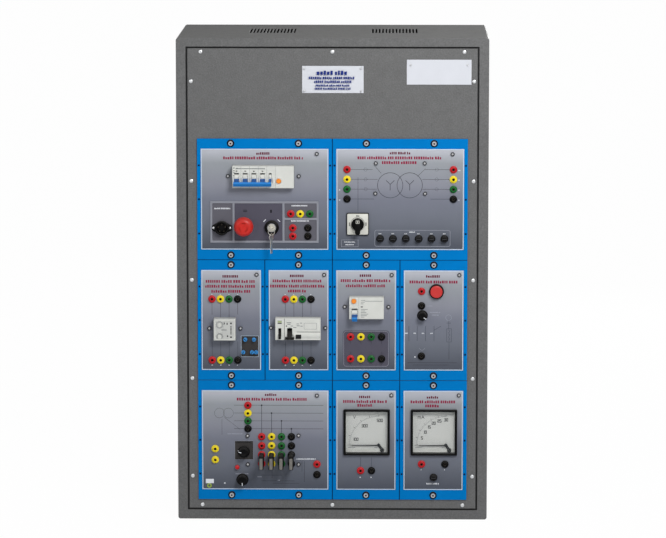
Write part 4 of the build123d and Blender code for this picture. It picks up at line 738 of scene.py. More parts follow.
def titles():
    """Heading of each module: rows of small print."""
    first, rest = Prints("heading_first", MAROON_PRINT), Prints("heading_rest", CRIMSON_PRINT)
    headings = {
        "supply": ((-2.5, 94.6, 29), (-2.7, 85.4, 164)),
        "transformer": ((-0.5, 95.8, 42), (-0.5, 86.0, 174), (0, 76.3, 75)),
        "relay": ((-1.2, 91.1, 33), (-0.7, 80.6, 103), (-1.2, 70.4, 104), (-0.7, 60.0, 80)),
        "recloser": ((-1.4, 92.4, 33), (-1.9, 81.9, 103), (-1.4, 71.1, 115), (-1.9, 61.0, 40)),
        "rcd": ((-1.3, 93.3, 24), (-0.8, 82.8, 103), (-0.8, 72.1, 82)),
        "fault": ((0, 92.0, 32), (-0.2, 80.4, 99)),
        "toroid": ((14, 95.3, 29), (14.4, 85.7, 146)),
        "voltmeter": ((-1.3, 91.1, 26), (-0.8, 81.5, 93), (-1.3, 73.5, 33)),
        "ammeter": ((-0.6, 90.7, 26), (0, 81.1, 94), (-0.6, 72.6, 32)),
    }
    for seed, (module, lines) in enumerate(headings.items()):
        for row, (dx, dz, width) in enumerate(lines):
            prints = rest if row else first
            prints.words(spot(module, dx, dz), width, 5.8 if row else 5.2, 31 * seed + row)
    first.done()
    rest.done()


def schematics():
    """Schematic lines, small words, printed fields and borders of the labels."""
    white, pale, drawn, faint, plum, slate, black, umber, lime = kinds = [
        Prints(name, finish) for name, finish in (
            ("small_words", WHITE_PRINT), ("border_lines", PALE_PRINT),
            ("schematic_lines", LINE_PRINT), ("faint_lines", FAINT_PRINT),
            ("plum_fields", PLUM_PRINT), ("slate_fields", SLATE_PRINT),
            ("black_marks", BLACK_PRINT), ("umber_fields", BROWN_PRINT),
            ("lime_ring", LIME_PRINT))]

    def lines(module, *paths, width=0.6, prints=drawn):
        for path in paths:
            prints.form.stroke([spot(module, *p) for p in path], width)

    def words(prints, module, *rows):
        for dx, dz, width, height, seed in rows:
            prints.words(spot(module, dx, dz), width, height, seed)

    def field(prints, module, dx, dz, width, height, corner=0.0, share=1.0):
        outline = rectangle(spot(module, dx, dz), width, height, corner)
        prints.form.plate(outline, 0, PRINT * share)

    def box(prints, module, dx, dz, width, height, line, corner=0.0):
        outline = rectangle(spot(module, dx, dz), width, height, corner)
        prints.form.frame_plate(outline, shrunk(outline, line), 0, PRINT * 1.2)

    def dot(prints, module, dx, dz, radius=1.5):
        prints.form.turned(spot(module, dx, dz), [(0, 0), (radius, 0), (radius, PRINT * 1.2),
                                                  (0, PRINT * 1.2)], 16)

    for module, (_, units, _) in MODULES.items():
        box(pale, module, 0, 0, units * UNIT_WIDTH - 17.4, 2 * LABEL_HALF_HEIGHT - 0.6, 1.6)

    # Transformer
    for x in (-20.5, 19.5):
        drawn.form.hoop(spot("transformer", x, 29.5), 25.9, 0.9, steps=64)
        lines("transformer", [(x - 8, 39.3), (x, 31.4), (x + 8.2, 39.3)], [(x, 31.4), (x, 19.4)],
              width=1.0)
    for i, (left, right) in enumerate(((-56.9, 51.3), (-46.7, 45.8), (-47.7, 45.8),
                                       (-54.1, 62.4))):
        z = 62.0 - 20.3 * i
        lines("transformer", [(-101, z), (left, z)], [(right, z), (101, z)])
        for x in (-70.8, 74.8) if i < 3 else ():
            drawn.form.hoop(spot("transformer", x, z), 3.4, 0.35, steps=16)
    lines("transformer", [(-86.5, 45.3), (-86.5, -24)], [(-52.3, 69.3), (-39.3, 54.5)],
          [(51.3, 63.8), (35.6, 48.0)])
    box(faint, "transformer", 25.4, -80.1, 155.4, 34.2, 0.8, 4)
    box(faint, "transformer", -103.2, -90.7, 35, 14.8, 0.6)
    corners = ((-123.5, 19.7), (-123.5, -1), (121, 60.4), (121, 40.3), (121, 19.7), (121, -1))
    words(white, "transformer", (25, -67.2, 12, 2.4, 501),
          *((-41 + 26.4 * i, -70.6, 6, 1.8, 510 + i) for i in range(6)),
          *((x, z, 4, 2.0, int(x * 7 + z)) for x, z in corners),
          (-103.2, -88, 24, 2.0, 520), (-103.2, -93.5, 18, 2.0, 521))

    # Supply
    words(white, "supply", (-87, -19.1, 33, 2.8, 530), (72.7, -13.0, 35, 2.8, 531),
          (72.7, -44.5, 37, 2.8, 532))
    for row in range(2):
        z = -22.6 - 3 * row
        lines("supply", [(-43.6, z), (-36.6, z)], width=1.2, prints=black)
    field(black, "supply", 13, -24.7, 3.4, 6.4, share=1.4)
    for side in (-1, 1):
        x = 14.5 + 14.6 * side
        lines("supply", [(x + 1.8 * side, -45.8), (x - 1.8 * side, -42.2)], width=1.5,
              prints=white)
    for prints, x, wide in ((slate, -88, 43), (slate, 73, 73), (plum, -14.9, 101)):
        field(prints, "supply", x, -47.0, wide, 84, share=0.6)

    # Relay and reset breaker
    for module, first in (("relay", -39.5), ("recloser", -27.4)):
        for i in range(4):
            x = first + 17.6 * i
            lines(module, [(x, 36), (x, 12 if i in (0, 3) else 5)], [(x, -45), (x, -76)])
            words(white, module, (x, 53.6, 2.6, 1.8, 540 + i), (x, -94.0, 2.6, 1.8, 545 + i))
    field(umber, "relay", 38.3, -54.6, 36.4, 44.2, 1)
    box(pale, "relay", 38.3, -54.6, 36.4, 44.2, 0.6, 1)

    # Residual current switch
    field(plum, "rcd", 0, -59.2, 96.2, 76.8, 6.5)
    box(faint, "rcd", 0, -59.2, 93, 73.6, 0.6, 6)
    for i in range(4):
        x = -32 + 21.3 * i
        lines("rcd", [(x, -44), (x, -49)], [(x, -66), (x, -70)])
        words(white, "rcd", *((x, z, 2.6, 2.0, 550 + i) for z in (-24.5, -91)))

    # Fault
    for x in (-50.9, -33.7, -16.6, 0.9):
        lines("fault", [(x, -11.6), (x, -42.2)])
        words(white, "fault", (x - 5, -26.4, 5, 2.2, int(x)))
    lines("fault", [(-53, -87.8), (47.6, -87.8)], [(-42.3, -92.6), (31.3, -92.6)],
          [(31.2, 1.0), (31.2, -16.6)], [(31.9, -44.6), (31.9, -80.8)], [(0.9, -20), (15, -11.6)],
          [(27, -5), (35.4, -5)])
    faint.form.hoop(spot("fault", 30.8, 6.3), 5.9, 0.6)
    box(drawn, "fault", 31.9, -30.6, 10.3, 28, 0.5)
    for i in range(3):
        drawn.form.arc(spot("fault", 30, -22 - 8 * i), 3.0, -80, 80, 0.5, steps=8)
    faint.form.arc(spot("fault", -23.6, -55.6), 6, 200, 340, 0.6, steps=10)
    dot(white, "fault", -38.2, -75.9, 1.4)
    words(faint, "fault", *((x, z, wide, high, int(x * 3 + z)) for x, z, wide, high in (
        (3.1, 17.1, 22, 2.4), (3.5, 11.6, 14, 2.4), (-8, 30.6, 13, 2.2))))

    # Toroid
    for x in (-94.6, -76.1):
        drawn.form.hoop(spot("toroid", x, 56.5), 10.2, 0.45)
    lines("toroid", [(-84.5, 47.6), (-52.2, 22.3)], [(-89.5, 44), (-89.5, 11.2)], width=0.45)
    for i in range(4):
        z, x = 73.0 - 16.4 * i, -7.3 + 20.5 * i
        lines("toroid", [(-64, z), (-44, z)], [(-28, z), (119.9, z)])
        lines("toroid", [(x, z), (x, 15)], width=0.9)
        dot(drawn, "toroid", x, z, 1.7)
        lines("toroid", *([(x, -1.5 - 19 * j), (x, -3.5 - 19 * j)] for j in range(3)))
    lines("toroid", [(-8, -74), (34, -74)], [(-8, -86), (60, -86)], [(14, -60), (14, -80)],
          [(81, -45), (81, -88)], [(76, -45), (76, -66)], [(16, -91), (70, -91)])
    field(umber, "toroid", -43.9, -21.7, 38.9, 39.8, 1)
    box(faint, "toroid", -43.9, -21.7, 38.9, 39.8, 0.5, 1)
    words(faint, "toroid", *((x, z, wide, high, int(x * 5 + z)) for x, z, wide, high in (
        (-86.4, 75.9, 31, 2.2), (-61.9, 13, 32, 2.2), (-43.8, -4.6, 31, 2.2),
        (-48, -71.2, 27, 2.4), (-11.5, -77.3, 9, 2.4), (28.8, -84.7, 6.5, 2.4))))
    words(white, "toroid", (85.2, -39.7, 42, 2.6, 560))
    field(white, "toroid", -115.1, -86.8, 16.6, 9)
    lime.form.hoop(spot("toroid", -116, -96.2), 3.6, 2.0)
    dot(white, "toroid", -84, -91)

    # Meters
    for x in (-11.2, 11.4):
        lines("voltmeter", [(x, -36), (x, -56.0)])
        words(white, "voltmeter", (x, -77.6, 3.4, 3, int(x)))
    words(white, "ammeter", *((x, -61.6, 2.6, 2.4, int(x)) for x in (-24.0, 24.4)),
          (-0.2, -90.9, 27, 3.2, 571))
    for prints in kinds:
        prints.done()


def plate_details():
    """Rivets at the sides of the module plates, in the dark blue of the painted shade, and dark
    strips of painted shade over the seams between them.
    """
    rivets = []
    for module, (_, units, _) in MODULES.items():
        for side in (-1, 1):
            for dz in (70.0, 0.0, -71.0):
                x, z = spot(module, side * (units * UNIT_WIDTH / 2 - 4.4), dz)
                rivets.append((x, -0.2, z))
    set_out("plate_rivets", turned_form((0, 0), (2.1, 0), (1.8, 0.5), (0, 0.7), steps=12), rivets,
            GAP_SHADE_NAVY)
    # Painted shade: dark strips lie over the seams where shade falls in the gaps between plates.
    seams = Form()
    for x, rows in ((0, (0, 1, 2)), (-139, (1,)), (139, (1, 2))):
        for row in rows:
            z = BLOCK_BOTTOM + (2.5 - row) * ROW_HEIGHT
            seams.plate(rectangle((x, z), 1.7, ROW_HEIGHT - 1), -1.5, -0.6)
    seams.plate(rectangle((0, BLOCK_BOTTOM + 2 * ROW_HEIGHT), 4 * UNIT_WIDTH - 2, 1.2), -1.5, -0.62)
    seams.made("plate_seams", GAP_SHADE_NAVY, "module_blue")


def header_plates():
    """Bare name plate and the title plate with rows of small print."""
    navy = Prints("title_plate_rows", NAVY_PRINT)
    for dz, width, high in ((14.0, 66, 8.6), (3.5, 98, 5.0), (-4.2, 76, 5.0), (-12, 70, 4.0),
                            (-18.5, 74, 4.0)):
        navy.words((1.0, 915.5 + dz), width, high, int(dz * 10) + 700)
    navy.done()
    dots = [(1 + sx * 58, 0, 915.5 + sz * 23) for sx in (-1, 1) for sz in (-1, 1)]
    dots += [(218 + sx * 58, 0, 946) for sx in (-1, 1)]
    set_out("header_screws", turned_form((0, 0), (2.2, 0), (2.2, 0.5), (1.5, 1.1), (0, 1.2)), dots,
            SCREW_STEEL)


# ---------------- rail devices
def breaker():
    """Four-pole breaker with its residual current part."""
    x, z = spot("supply", -2.5, 48.0)
    left = x - 63.0
    poles = [POLE_PITCH * (i + 0.5) for i in range(4)]
    eased("breaker_body", 0.8, [DEVICE_WHITE])
    marks("breaker_grey_marks", (left, z),
          [(POLE_PITCH * i, 0, 0.35, NOSE_HEIGHT, 0.12) for i in range(1, 6)]
          + [(37, 17.5, 60, 1.5, 0.15)]
          + [(3.4, dz, 3.4, 1.6, 0.15) for dz in (18.8, 13.3, 9.6, 3.7)]
          + [(10, 18.4, 3.2, 1.4, 0.15)], GREY_MARK, "device_grey")
    marks("breaker_marks", (left, z), [(pole, 12.4, 3.6, 2.0, 0.15, 0.9, 3) for pole in poles],
          DARK_MARK_AND_SHADE)
    marks("breaker_cheeks", (left, z),
          [(pole + 6.4 * side, -5.9, 2.4, 9.8, 2.4, 1.0, 3, 0.7) for pole in poles
           for side in (-1, 1)] + [(83.2, -5.9, 2.0, 9.8, 2.4, 0.9, 3, 0.6)],
          PLATE_WHITE, "device_white")
    blue_toggles("breaker_toggles", [(left + pole, 9.0) for pole in poles] + [(left + 77.7, 4.6)],
                 z, z - 8.5)
    test_button("breaker_test_button", 1.6)


def blue_toggles(node, places, z, pale_below, radius=7.2, level=15.0):
    """Toggles and the drums that turn with them, which fill their slots and stop at the back."""
    drums = Form()
    turns = [radians(-140 + 10 * i) for i in range(20)]
    for x, wide in places:
        drums.rings([[drums.point(x + side * wide / 2, level + radius * cos(turn),
                                  z + radius * sin(turn)) for turn in turns]
                     for side in (-1, 1)], caps=True)
    drums.made(node + "_drums", DEVICE_WHITE, "device_white", node)
    eased(node, 0.9, [TOGGLE_BLUE, PALE_BLUE], node,
          lambda at, normal: int(at.z < pale_below), 3)


def test_button(node, width):
    """Round cap of an orange test button, and the raised ring round it."""
    at, radius, foot, top = middle(node)
    turned_piece(node + "_cap", at, [(0, foot), (radius, foot), (radius, top - 0.9),
                                     (radius - 0.3, top - 0.3), (radius - 1.0, top),
                                     (radius * 0.5, top - 0.25), (0, top - 0.3)], 32,
                 BUTTON_ORANGE, "button_orange", node, (node,))
    inner = radius + 0.35
    turned_piece(node + "_ring", at, [(inner, NOSE_FACE), (inner, NOSE_FACE + 1.1),
                                      (inner + 0.5, NOSE_FACE + 1.5), (inner + width, NOSE_FACE)],
                 32, DEVICE_WHITE, "device_white")


def raised_rim(name, at, outer, inner, rise, edge):
    """White rim raised from a device's face."""
    rim = Form()
    rim.frame_plate(rectangle(at, *outer), rectangle(at, *inner), NOSE_FACE, NOSE_FACE + rise, edge)
    rim.made(name, DEVICE_WHITE, "device_white")


def relay():
    """Pale relay with two setting dials and its marks."""
    x, z = spot("relay", -13.0, -17.0)
    eased("relay_body", 0.8, [DEVICE_GREY])
    raised_rim("relay_face_rim", (x, z), (43, 43, 1.5), (37, 37, 1.0), 0.8, 0.3)
    rings, ticks = Form(), []
    for dz, radius in ((10, 6.6), (-14, 5.8)):
        rings.hoop((x - 10.3, z + dz), radius, 0.9, NOSE_FACE, NOSE_FACE + 0.3)
        ticks += [(*polar((-10.3, dz), radius + 1.8, radians(-30 + 34 * i)), 0.9, 0.9, 0.2)
                  for i in range(8)]
    marks("relay_grey_marks", (x, z), ticks + [(-1, -1.5, 11, 0.7, 0.2), (-1, 0.8, 11, 0.7, 0.2)],
          GREY_MARK, "device_grey", rings)
    marks("relay_marks", (x, z),
          [(-0.6, 13.3, 1.8, 4.2, 0.2), (5.3, 12.4, 2.0, 4.2, 0.2), (13.3, 13.3, 3.2, 3.2, 0.2),
           (6.2, -13.3, 2.4, 3.0, 0.2), (13.3, -15.4, 3.2, 3.2, 0.2)]
          + [(13.3, 6.5 - 3 * row, 2.0, 2.2, 0.2) for row in range(6)], DARK_MARK_AND_SHADE)
    for node in ("relay_dial_upper", "relay_dial_lower"):
        eased(node, 0.25, [DEVICE_WHITE], node)


def recloser():
    """Reset breaker with its lever, toggle and rolled lower part."""
    x, z = spot("recloser", -1.0, -15.5)
    left = x - 46.5

    # Painted shade: faces inside the recess of the body are made dark for the shade in it.
    def recess_of(at, normal):
        return int(8 < LABEL_Y - at.y < 18.4 and x - 45 < at.x < x - 5
                   and abs(at.z - z + 6.5) < 10.5)

    eased("recloser_body", 0.7, [DEVICE_WHITE, DARK_MARK_AND_SHADE], choose=recess_of)
    # The last row is a dark line of painted shade along the crease above the rolled lower part; the
    # other rows are dark parts and marks.
    marks("recloser_marks", (left, z),
          [(18.6, 0, 0.8, NOSE_HEIGHT, 0.15), (47.5, -15.2, 11.4, 8.6, 3.1, 0.8, 5, 0.3),
           (29.0, -20.6, 19, 3.0, 0.3), (9, 12.5, 8.4, 2.2, 0.15), (23, 6.5, 2.4, 2.2, 0.15),
           (68.0, -5.7, 48, 0.8, 0.3)], DARK_MARK_AND_SHADE)
    grey, middle_of_box = Form(), (left + 72, z + 6.4)
    grey.frame_plate(rectangle(middle_of_box, 26, 13), rectangle(middle_of_box, 25, 12), NOSE_FACE,
                     NOSE_FACE + 0.12)
    marks("recloser_grey_marks", (left, z), [(dx, dz, wide, 1.3, 0.12) for dx, dz, wide in (
        (28, 13.5, 9), (28, 10.2, 6), (34, 6.6, 5), (40, 3.4, 7), (46, 11, 5), (47, 7.2, 6),
        (53, 12.8, 4), (54, 6.4, 5), (30, 2.6, 6))] + [(9, 17, 9, 1.2, 0.12)],
          GREY_MARK, "device_grey", grey)
    marks("recloser_lime_mark", (left, z), [(9, 15.2, 8.0, 1.4, 0.15)], LIME_PRINT,
          "green_plastic")
    for node in ("recloser_lever", "recloser_toggle"):
        eased(node, 0.9, [BLACK_PLASTIC], node, segments=3)


def residual_switch():
    """Four-pole residual current switch."""
    at = spot("rcd", 1.0, 28.5)
    toggle = spot("rcd", -23.5, 19.0)
    eased("rcd_body", 0.8, [DEVICE_WHITE])
    marks("residual_switch_mark", at, [(-9.8, 2.7, 4.2, 2.0, 0.15)], DARK_MARK_AND_SHADE)
    marks("residual_switch_lines", at,
          [(-16.0, 0, 0.35, NOSE_HEIGHT, 0.12), (14.4, 14.6, 36, 0.9, 0.12)]
          + [(-11.6 + wide / 2, dz, wide, 1.0, 0.12) for dz, wide in (
              (16.4, 9), (12.6, 8), (9.2, 5), (-2.4, 14), (-5.6, 9), (-8.8, 11), (-12.2, 15),
              (-15.4, 12), (-18.4, 7))], GREY_MARK, "device_grey")
    raised_rim("residual_toggle_collar", toggle, (15.5, 21.6, 1.0), (12.2, 17.6, 0.5), 1.2, 0.4)
    blue_toggles("rcd_toggle", [(toggle[0], 10.6)], toggle[1], toggle[1] - 9)
    test_button("rcd_test_button", 1.4)


# ---------------- round controls
def barrelled(name, at, profile, steps, finish, slot, node):
    """Turned front of a control, with its barrel, nut and contact block behind the plate."""
    form = Form()
    form.turned(at, [(0, -31.8), (11, -31.8), (11, -0.2), (0, -0.2)], 32)
    form.turned(at, [(11, -10), (14.5, -10), (14.5, -4.4), (11, -4.4)], 6)
    form.plate(rectangle(at, 30, 30, 2), -55.8, -31.8, 0.8)
    form.turned(at, profile, steps)
    form.made(name, finish, slot, replaced=(node,))


def mains_inlet():
    """Round inlet on a flange that reaches out level to both sides, with its pins."""
    at = spot("supply", -88.0, -59.0)
    body = Form()
    reach, end = 20.5, 4.6
    corner = [(-reach, -end), (-3, -14.5), (3, -14.5), (reach, -end), (reach, end), (3, 14.5),
              (-3, 14.5), (-reach, end)]
    body.plate([(at[0] + x, at[1] + z) for x, z in corner], 0, 2.5, 0.6)
    body.turned(at, [(0, -22), (13.2, -22), (13.2, 0), (14.5, 0), (14.5, 10.5), (14.0, 11.6),
                     (13.2, 12), (12.2, 12), (11.5, 11.4), (11.5, 1.2), (0, 1.2)], 48)
    body.made("mains_inlet_body", BLACK_PLASTIC, "collar_metal", replaced=("mains_inlet",))
    pins = [(x, 1.2, z) for x, z in (polar(at, 7.5, radians(90 + 72 * i)) for i in range(5))]
    # The pins share the contact metal darkened for painted shade.
    set_out("inlet_pins", turned_form((0, 0), (1.4, 0), (1.4, 6.6), (0.9, 7.6), (0, 8.0)), pins,
            CONTACT_IN_BORE_SHADE)
    ends = [(at[0] + side * 17.0, 2.4, at[1]) for side in (-1, 1)]
    set_out("inlet_screws", turned_form((0, 0), (2.5, 0), (2.3, 0.9), (1.2, 1.5), (0, 1.5)), ends,
            SCREW_STEEL)


def emergency_stop():
    """Collar, stem and mushroom head of the emergency stop."""
    at = spot("supply", -42.5, -54.0)
    barrelled("stop_collar", at, [(8.1, -0.1), (15, -0.1), (15, 6.2), (14.2, 7.4), (12.6, 8.4),
                                  (10.2, 9.0), (8.6, 9.0), (8.1, 8.4)], 48,
              CHROME, "collar_metal", "estop_base")
    turned_piece("stop_stem", at, [(0, -18), (8, -18), (8, 15), (0, 15)], 40, BLACK_PLASTIC,
                 "black_plastic", "estop_stem", ("estop_stem",))
    turned_piece("stop_head", at, [(0, 15), (16, 15), (17.4, 15.4), (19.0, 17.4), (19.8, 19.6),
                                   (20.0, 22.4), (19.6, 26.0), (18.4, 29.6), (16.2, 32.6),
                                   (13.4, 34.4), (10.2, 35.0), (6.0, 34.7), (0, 34.4)], 64,
                 STOP_RED, "red_plastic", "estop_head", ("estop_head",), 60)
    arrows = Form()
    for first in (90, 210, 330):
        arrows.arc(at, 8.6, first - 38, first + 30, 1.0, 34.6, 34.98, steps=10)
    arrows.made("stop_head_arrows", ARROW_RED, "red_plastic", "estop_head")


def key_switch():
    """Collar, lock cylinder, key and the ring with the spare key."""
    at = x, z = spot("supply", 14.5, -58.0)
    barrelled("key_switch_collar", at, [(0, -9), (9.0, -9), (14.8, -0.1), (14.8, 5.0), (14.0, 6.6),
                                        (12.4, 7.6), (10.4, 8.0), (9.4, 8.0), (8.8, 7.4),
                                        (0, 7.4)], 48,
              BLACK_PLASTIC, "collar_metal", "key_switch_body")
    turned_piece("key_switch_ring", at, [(8.3, 7.3), (8.3, 8.0), (8.9, 8.0), (9.3, 7.3)], 40,
                 CHROME, "collar_metal")
    eased("switch_key", 0.25, [KEY_STEEL], "switch_key")
    low, high = 9.9, 10.12
    relief = Form()
    relief.turned((x, z + 3.6), [(0, low), (1.6, low), (1.6, high), (0, high)], 20)
    relief.hoop(at, 5.6, 0.6, low, high, 32)
    relief.made("key_relief", BOLT_STEEL, "key_steel", "switch_key")

    wire, radius, level = 0.6, 6.5, 23.5
    ring, loops = Form(), []
    for turn in (2 * pi * i / 40 for i in range(40)):
        around = []
        for small in (2 * pi * j / 10 for j in range(10)):
            px, pz = polar((x, z - radius), radius + wire * cos(small), turn)
            around.append(ring.point(px, level + wire * sin(small), pz))
        loops.append(around)
    ring.rings(loops, closed=True)
    ring.made("key_ring", KEY_STEEL, "key_steel", "spare_key_ring")

    # Only the spare key hangs below the ring, and its blade is drawn out downwards.
    mesh = loose("spare_key_ring")
    ring_low = (z - 2 * radius - 0.9) * MM
    above = [vert for part in islands(mesh)
             if min(v.co.z for v in part) >= ring_low - 0.002 for vert in part]
    bmesh.ops.delete(mesh, geom=above, context="VERTS")
    for vert in mesh.verts:
        if vert.co.z < ring_low - 0.0115:
            vert.co.z -= 0.014
    spare = settled("spare_key", flattened(mesh, "spare_key"), "spare_key_ring", [KEY_STEEL],
                    ("spare_key_ring",))
    bevelled(spare, 0.2)


def selector_switch():
    """Cam switch with its plate and handle."""
    at = x, z = spot("transformer", -87.0, -50.4)
    body = Form()
    body.plate(rectangle(at, 46, 46, 3), 0, 5.0, 0.8)
    body.turned(at, [(0, -3.8), (8, -3.8), (8, 0), (12, 4.8), (12, 7.6), (11.6, 8), (0, 8)], 40)
    body.plate(rectangle(at, 44, 44, 3), -49.8, -3.8, 0.8)
    body.made("selector_body", BLACK_PLASTIC, "switch_grey", replaced=("cam_switch_body",))
    plate = Form()
    plate.plate(rectangle(at, 43, 43, 2), 5.0, 5.8, 0.3)
    plate.made("selector_plate", SWITCH_SILVER, "switch_grey")
    turns = [radians(turn) for turn in (82, 90, 98, 172, 180, 188, 270, -8, 0, 8)]
    dial = Form()
    dial.hoop(at, 14.4, 0.6, 5.8, 5.9, 48)
    marks("selector_marks", at, [(*polar((0, 0), 17.2, turn), 1.6, 2.6, 0.1) for turn in turns],
          BLACK_PRINT, form=dial, face=5.8)
    handle = Form()
    handle.turned(at, [(0, 8.3), (13, 8.3), (13, 12.2), (12.4, 13.2), (0, 13.4)], 48)
    handle.plate([polar((x, z + rise), 5.5, first + pi * i / 8)
                  for first, rise in ((0, 7), (pi, -15)) for i in range(9)], 12.6, 23.2, 1.2)
    handle.made("selector_handle", BLACK_PLASTIC, "black_plastic", "cam_switch_handle",
                ("cam_switch_handle",))
    index = Form()
    tab = rectangle((x, z + 6.6), 7.4, 6.4, 0.8)
    index.frame_plate(tab, shrunk(tab, 0.9), 23.1, 23.45)
    index.plate(rectangle((x, z + 6.6), 1.6, 3.4), 23.1, 23.4)
    index.made("selector_index", SWITCH_SILVER, "switch_grey", "cam_switch_handle")


def fuses():
    """Fuse holders and their slotted caps."""
    collar = turned_form((0, 0), (8, 0), (8, 1.8), (7.4, 2.7), (6.8, 3.0), (2.4, 3.0), (2.4, 8.8),
                         (0, 8.8), steps=32)
    set_out("fuse_holder_collars", collar, seats("fuse_bodies"), BLACK_PLASTIC,
            ("fuse_bodies",))
    for node in [f"fuse_cap_{i}" for i in range(1, 7)] + ["meter_fuse_cap"]:
        at = middle(node)[0]
        cap = Form()
        cap.turned(at, [(2.6, 3.3), (6.8, 3.3), (6.8, 9.0), (6.2, 10.6), (5.6, 11.2), (4.4, 11.8),
                        (0, 11.8), (0, 9.4), (2.6, 9.4)], 48, flutes=16, flute=0.25)
        cap.made(node + "_body", BLACK_PLASTIC, "black_plastic", node, (node,))
        slot = Form()
        slot.plate(rectangle(at, 8.6, 1.4), 11.7, 11.95)
        slot.hoop(at, 5.0, 0.35, 11.5, 11.75, 32)
        slot.made(node + "_slot", SOFT_BLACK, "black_plastic", node)


def fault_controls():
    """Red push button in its bezel, the knobs and the lamp."""
    at = spot("fault", 5.6, 61.0)
    barrelled("fault_button_ring", at, [(0, -0.1), (15.3, -0.1), (15.3, 5.4), (14.8, 7.0),
                                        (14.0, 8.0), (13.4, 8.0), (12.9, 7.4), (12.9, 2.0),
                                        (0, 2.0)], 56,
              BLACK_PLASTIC, "black_plastic", "fault_button_bezel")
    turned_piece("fault_button_cap", at, [(0, 5.3), (12.6, 5.3), (12.6, 9.8), (12.2, 10.7),
                                          (11.2, 11.3), (9.6, 11.5), (5, 11.2), (0, 11.1)], 56,
                 BUTTON_RED, "red_plastic", "fault_button", ("fault_button",))
    knob("fault_knob", spot("fault", -23.0, 11.0), 11.0, 130.0)
    knob("sensitivity_knob", spot("toroid", -44.5, -24.5), 12.5, -80.0)
    knob("delay_knob", spot("toroid", -47.3, -83.0), 12.5, 180.0)
    at = spot("toroid", -58.0, -57.0)
    turned_piece("lamp_lens", at, [(0, 1.0), (4.7, 1.0), (4.7, 3.6), (4.2, 5.4), (2.6, 6.6),
                                   (0, 7.0)], 28, RED_PLASTIC, "red_plastic",
                 replaced=("indicator_led",))
    turned_piece("lamp_ring", at, [(4.7, 0), (5.4, 0), (5.4, 1.4), (5.1, 1.9), (4.7, 1.8)], 32,
                 CHROME, "bolt_steel")


def knob(node, at, radius, bearing):
    """Fluted knob with a skirt and a white pointer line."""
    body = Form()
    top = radius - 2.2
    body.turned(at, [(0, -12.8), (3.0, -12.8), (3.0, 0.3), (radius, 0.3), (radius, 2.6),
                     (radius - 0.5, 3.4), (radius - 1.6, 4.0), (0, 4.0)], 56)
    body.turned(at, [(0, 3.9), (top, 3.9), (top - 0.3, 16.4), (top - 0.8, 17.4), (top - 1.8, 18.0),
                     (top * 0.55, 18.0), (top * 0.45, 17.6), (0, 17.5)], 112, flutes=28, flute=0.55)
    body.made(node + "_grip", BLACK_PLASTIC, "black_plastic", node, (node,))
    line, turn = Form(), radians(bearing)
    for reaches, width, low in (((top * 0.5, top - 0.6), 1.4, 17.7),
                                ((top + 0.4, radius - 0.7), 1.2, 3.6)):
        line.stroke([(at[0] + reach * sin(turn), at[1] + reach * cos(turn)) for reach in reaches],
                    width, low, low + 0.55)
    line.made(node + "_pointer", WHITE_PRINT, "device_white", node)


def bridging_plugs():
    """Two-pin bridging plugs in the lower two rows of the matrix."""
    for i in range(4):
        node = f"bridging_plug_{i + 1}"
        x, z = spot("toroid", -7.3 + 20.5 * i, -40.3)
        body = Form()
        body.rings(body.outlines(*(
            (rectangle((x, z), 10 - 2 * side, 30 - 2 * end, 2.2 - 0.5 * (side > 1), 4), out)
            for out, side, end in (
                (6.5, 1.0, 1.0), (8.0, 0.0, 0.0), (18.0, 0.0, 0.0), (21.0, 1.6, 0.4),
                (26.0, 1.9, 0.5), (31.0, 1.6, 0.4), (34.0, 0.2, 0.2), (42.0, 0.0, 0.0),
                (44.2, 0.6, 0.6), (45.0, 1.8, 1.8)))), caps=True)
        for dz in (9.5, -9.5):
            body.turned((x, z + dz), [(0, 0.8), (1.5, 0.8), (1.95, 1.6), (1.95, 6.6), (0, 6.6)], 20)
        body.made(node + "_body", BLACK_PLASTIC, "black_plastic", node, (node,))
        strip = Form()
        strip.plate(rectangle((x, z - 2), 6.4, 23, 1.2), 44.9, 45.3)
        strip.made(node + "_strip", PLUG_GREY, "device_grey", node)


# ---------------- meters
SEGMENTS = {0: "abcdef", 1: "bc", 2: "abged", 3: "abgcd", 5: "afgcd"}


def digits(form, number, at, height, low, high):
    """Plain upright numbers made of short strokes."""
    wide, step = height * 0.5, height * 0.78
    z, h, w = at[1], height / 2, wide / 2
    strokes = {"a": ((-w, h), (w, h)), "b": ((w, h), (w, 0)), "c": ((w, 0), (w, -h)),
               "d": ((w, -h), (-w, -h)), "e": ((-w, -h), (-w, 0)), "f": ((-w, 0), (-w, h)),
               "g": ((-w, 0), (w, 0))}
    x = at[0] - step * (len(str(number)) - 1) / 2
    for digit in str(number):
        for key in SEGMENTS[int(digit)]:
            form.stroke([(x + px, z + pz) for px, pz in strokes[key]], height * 0.2, low, high)
        x += step


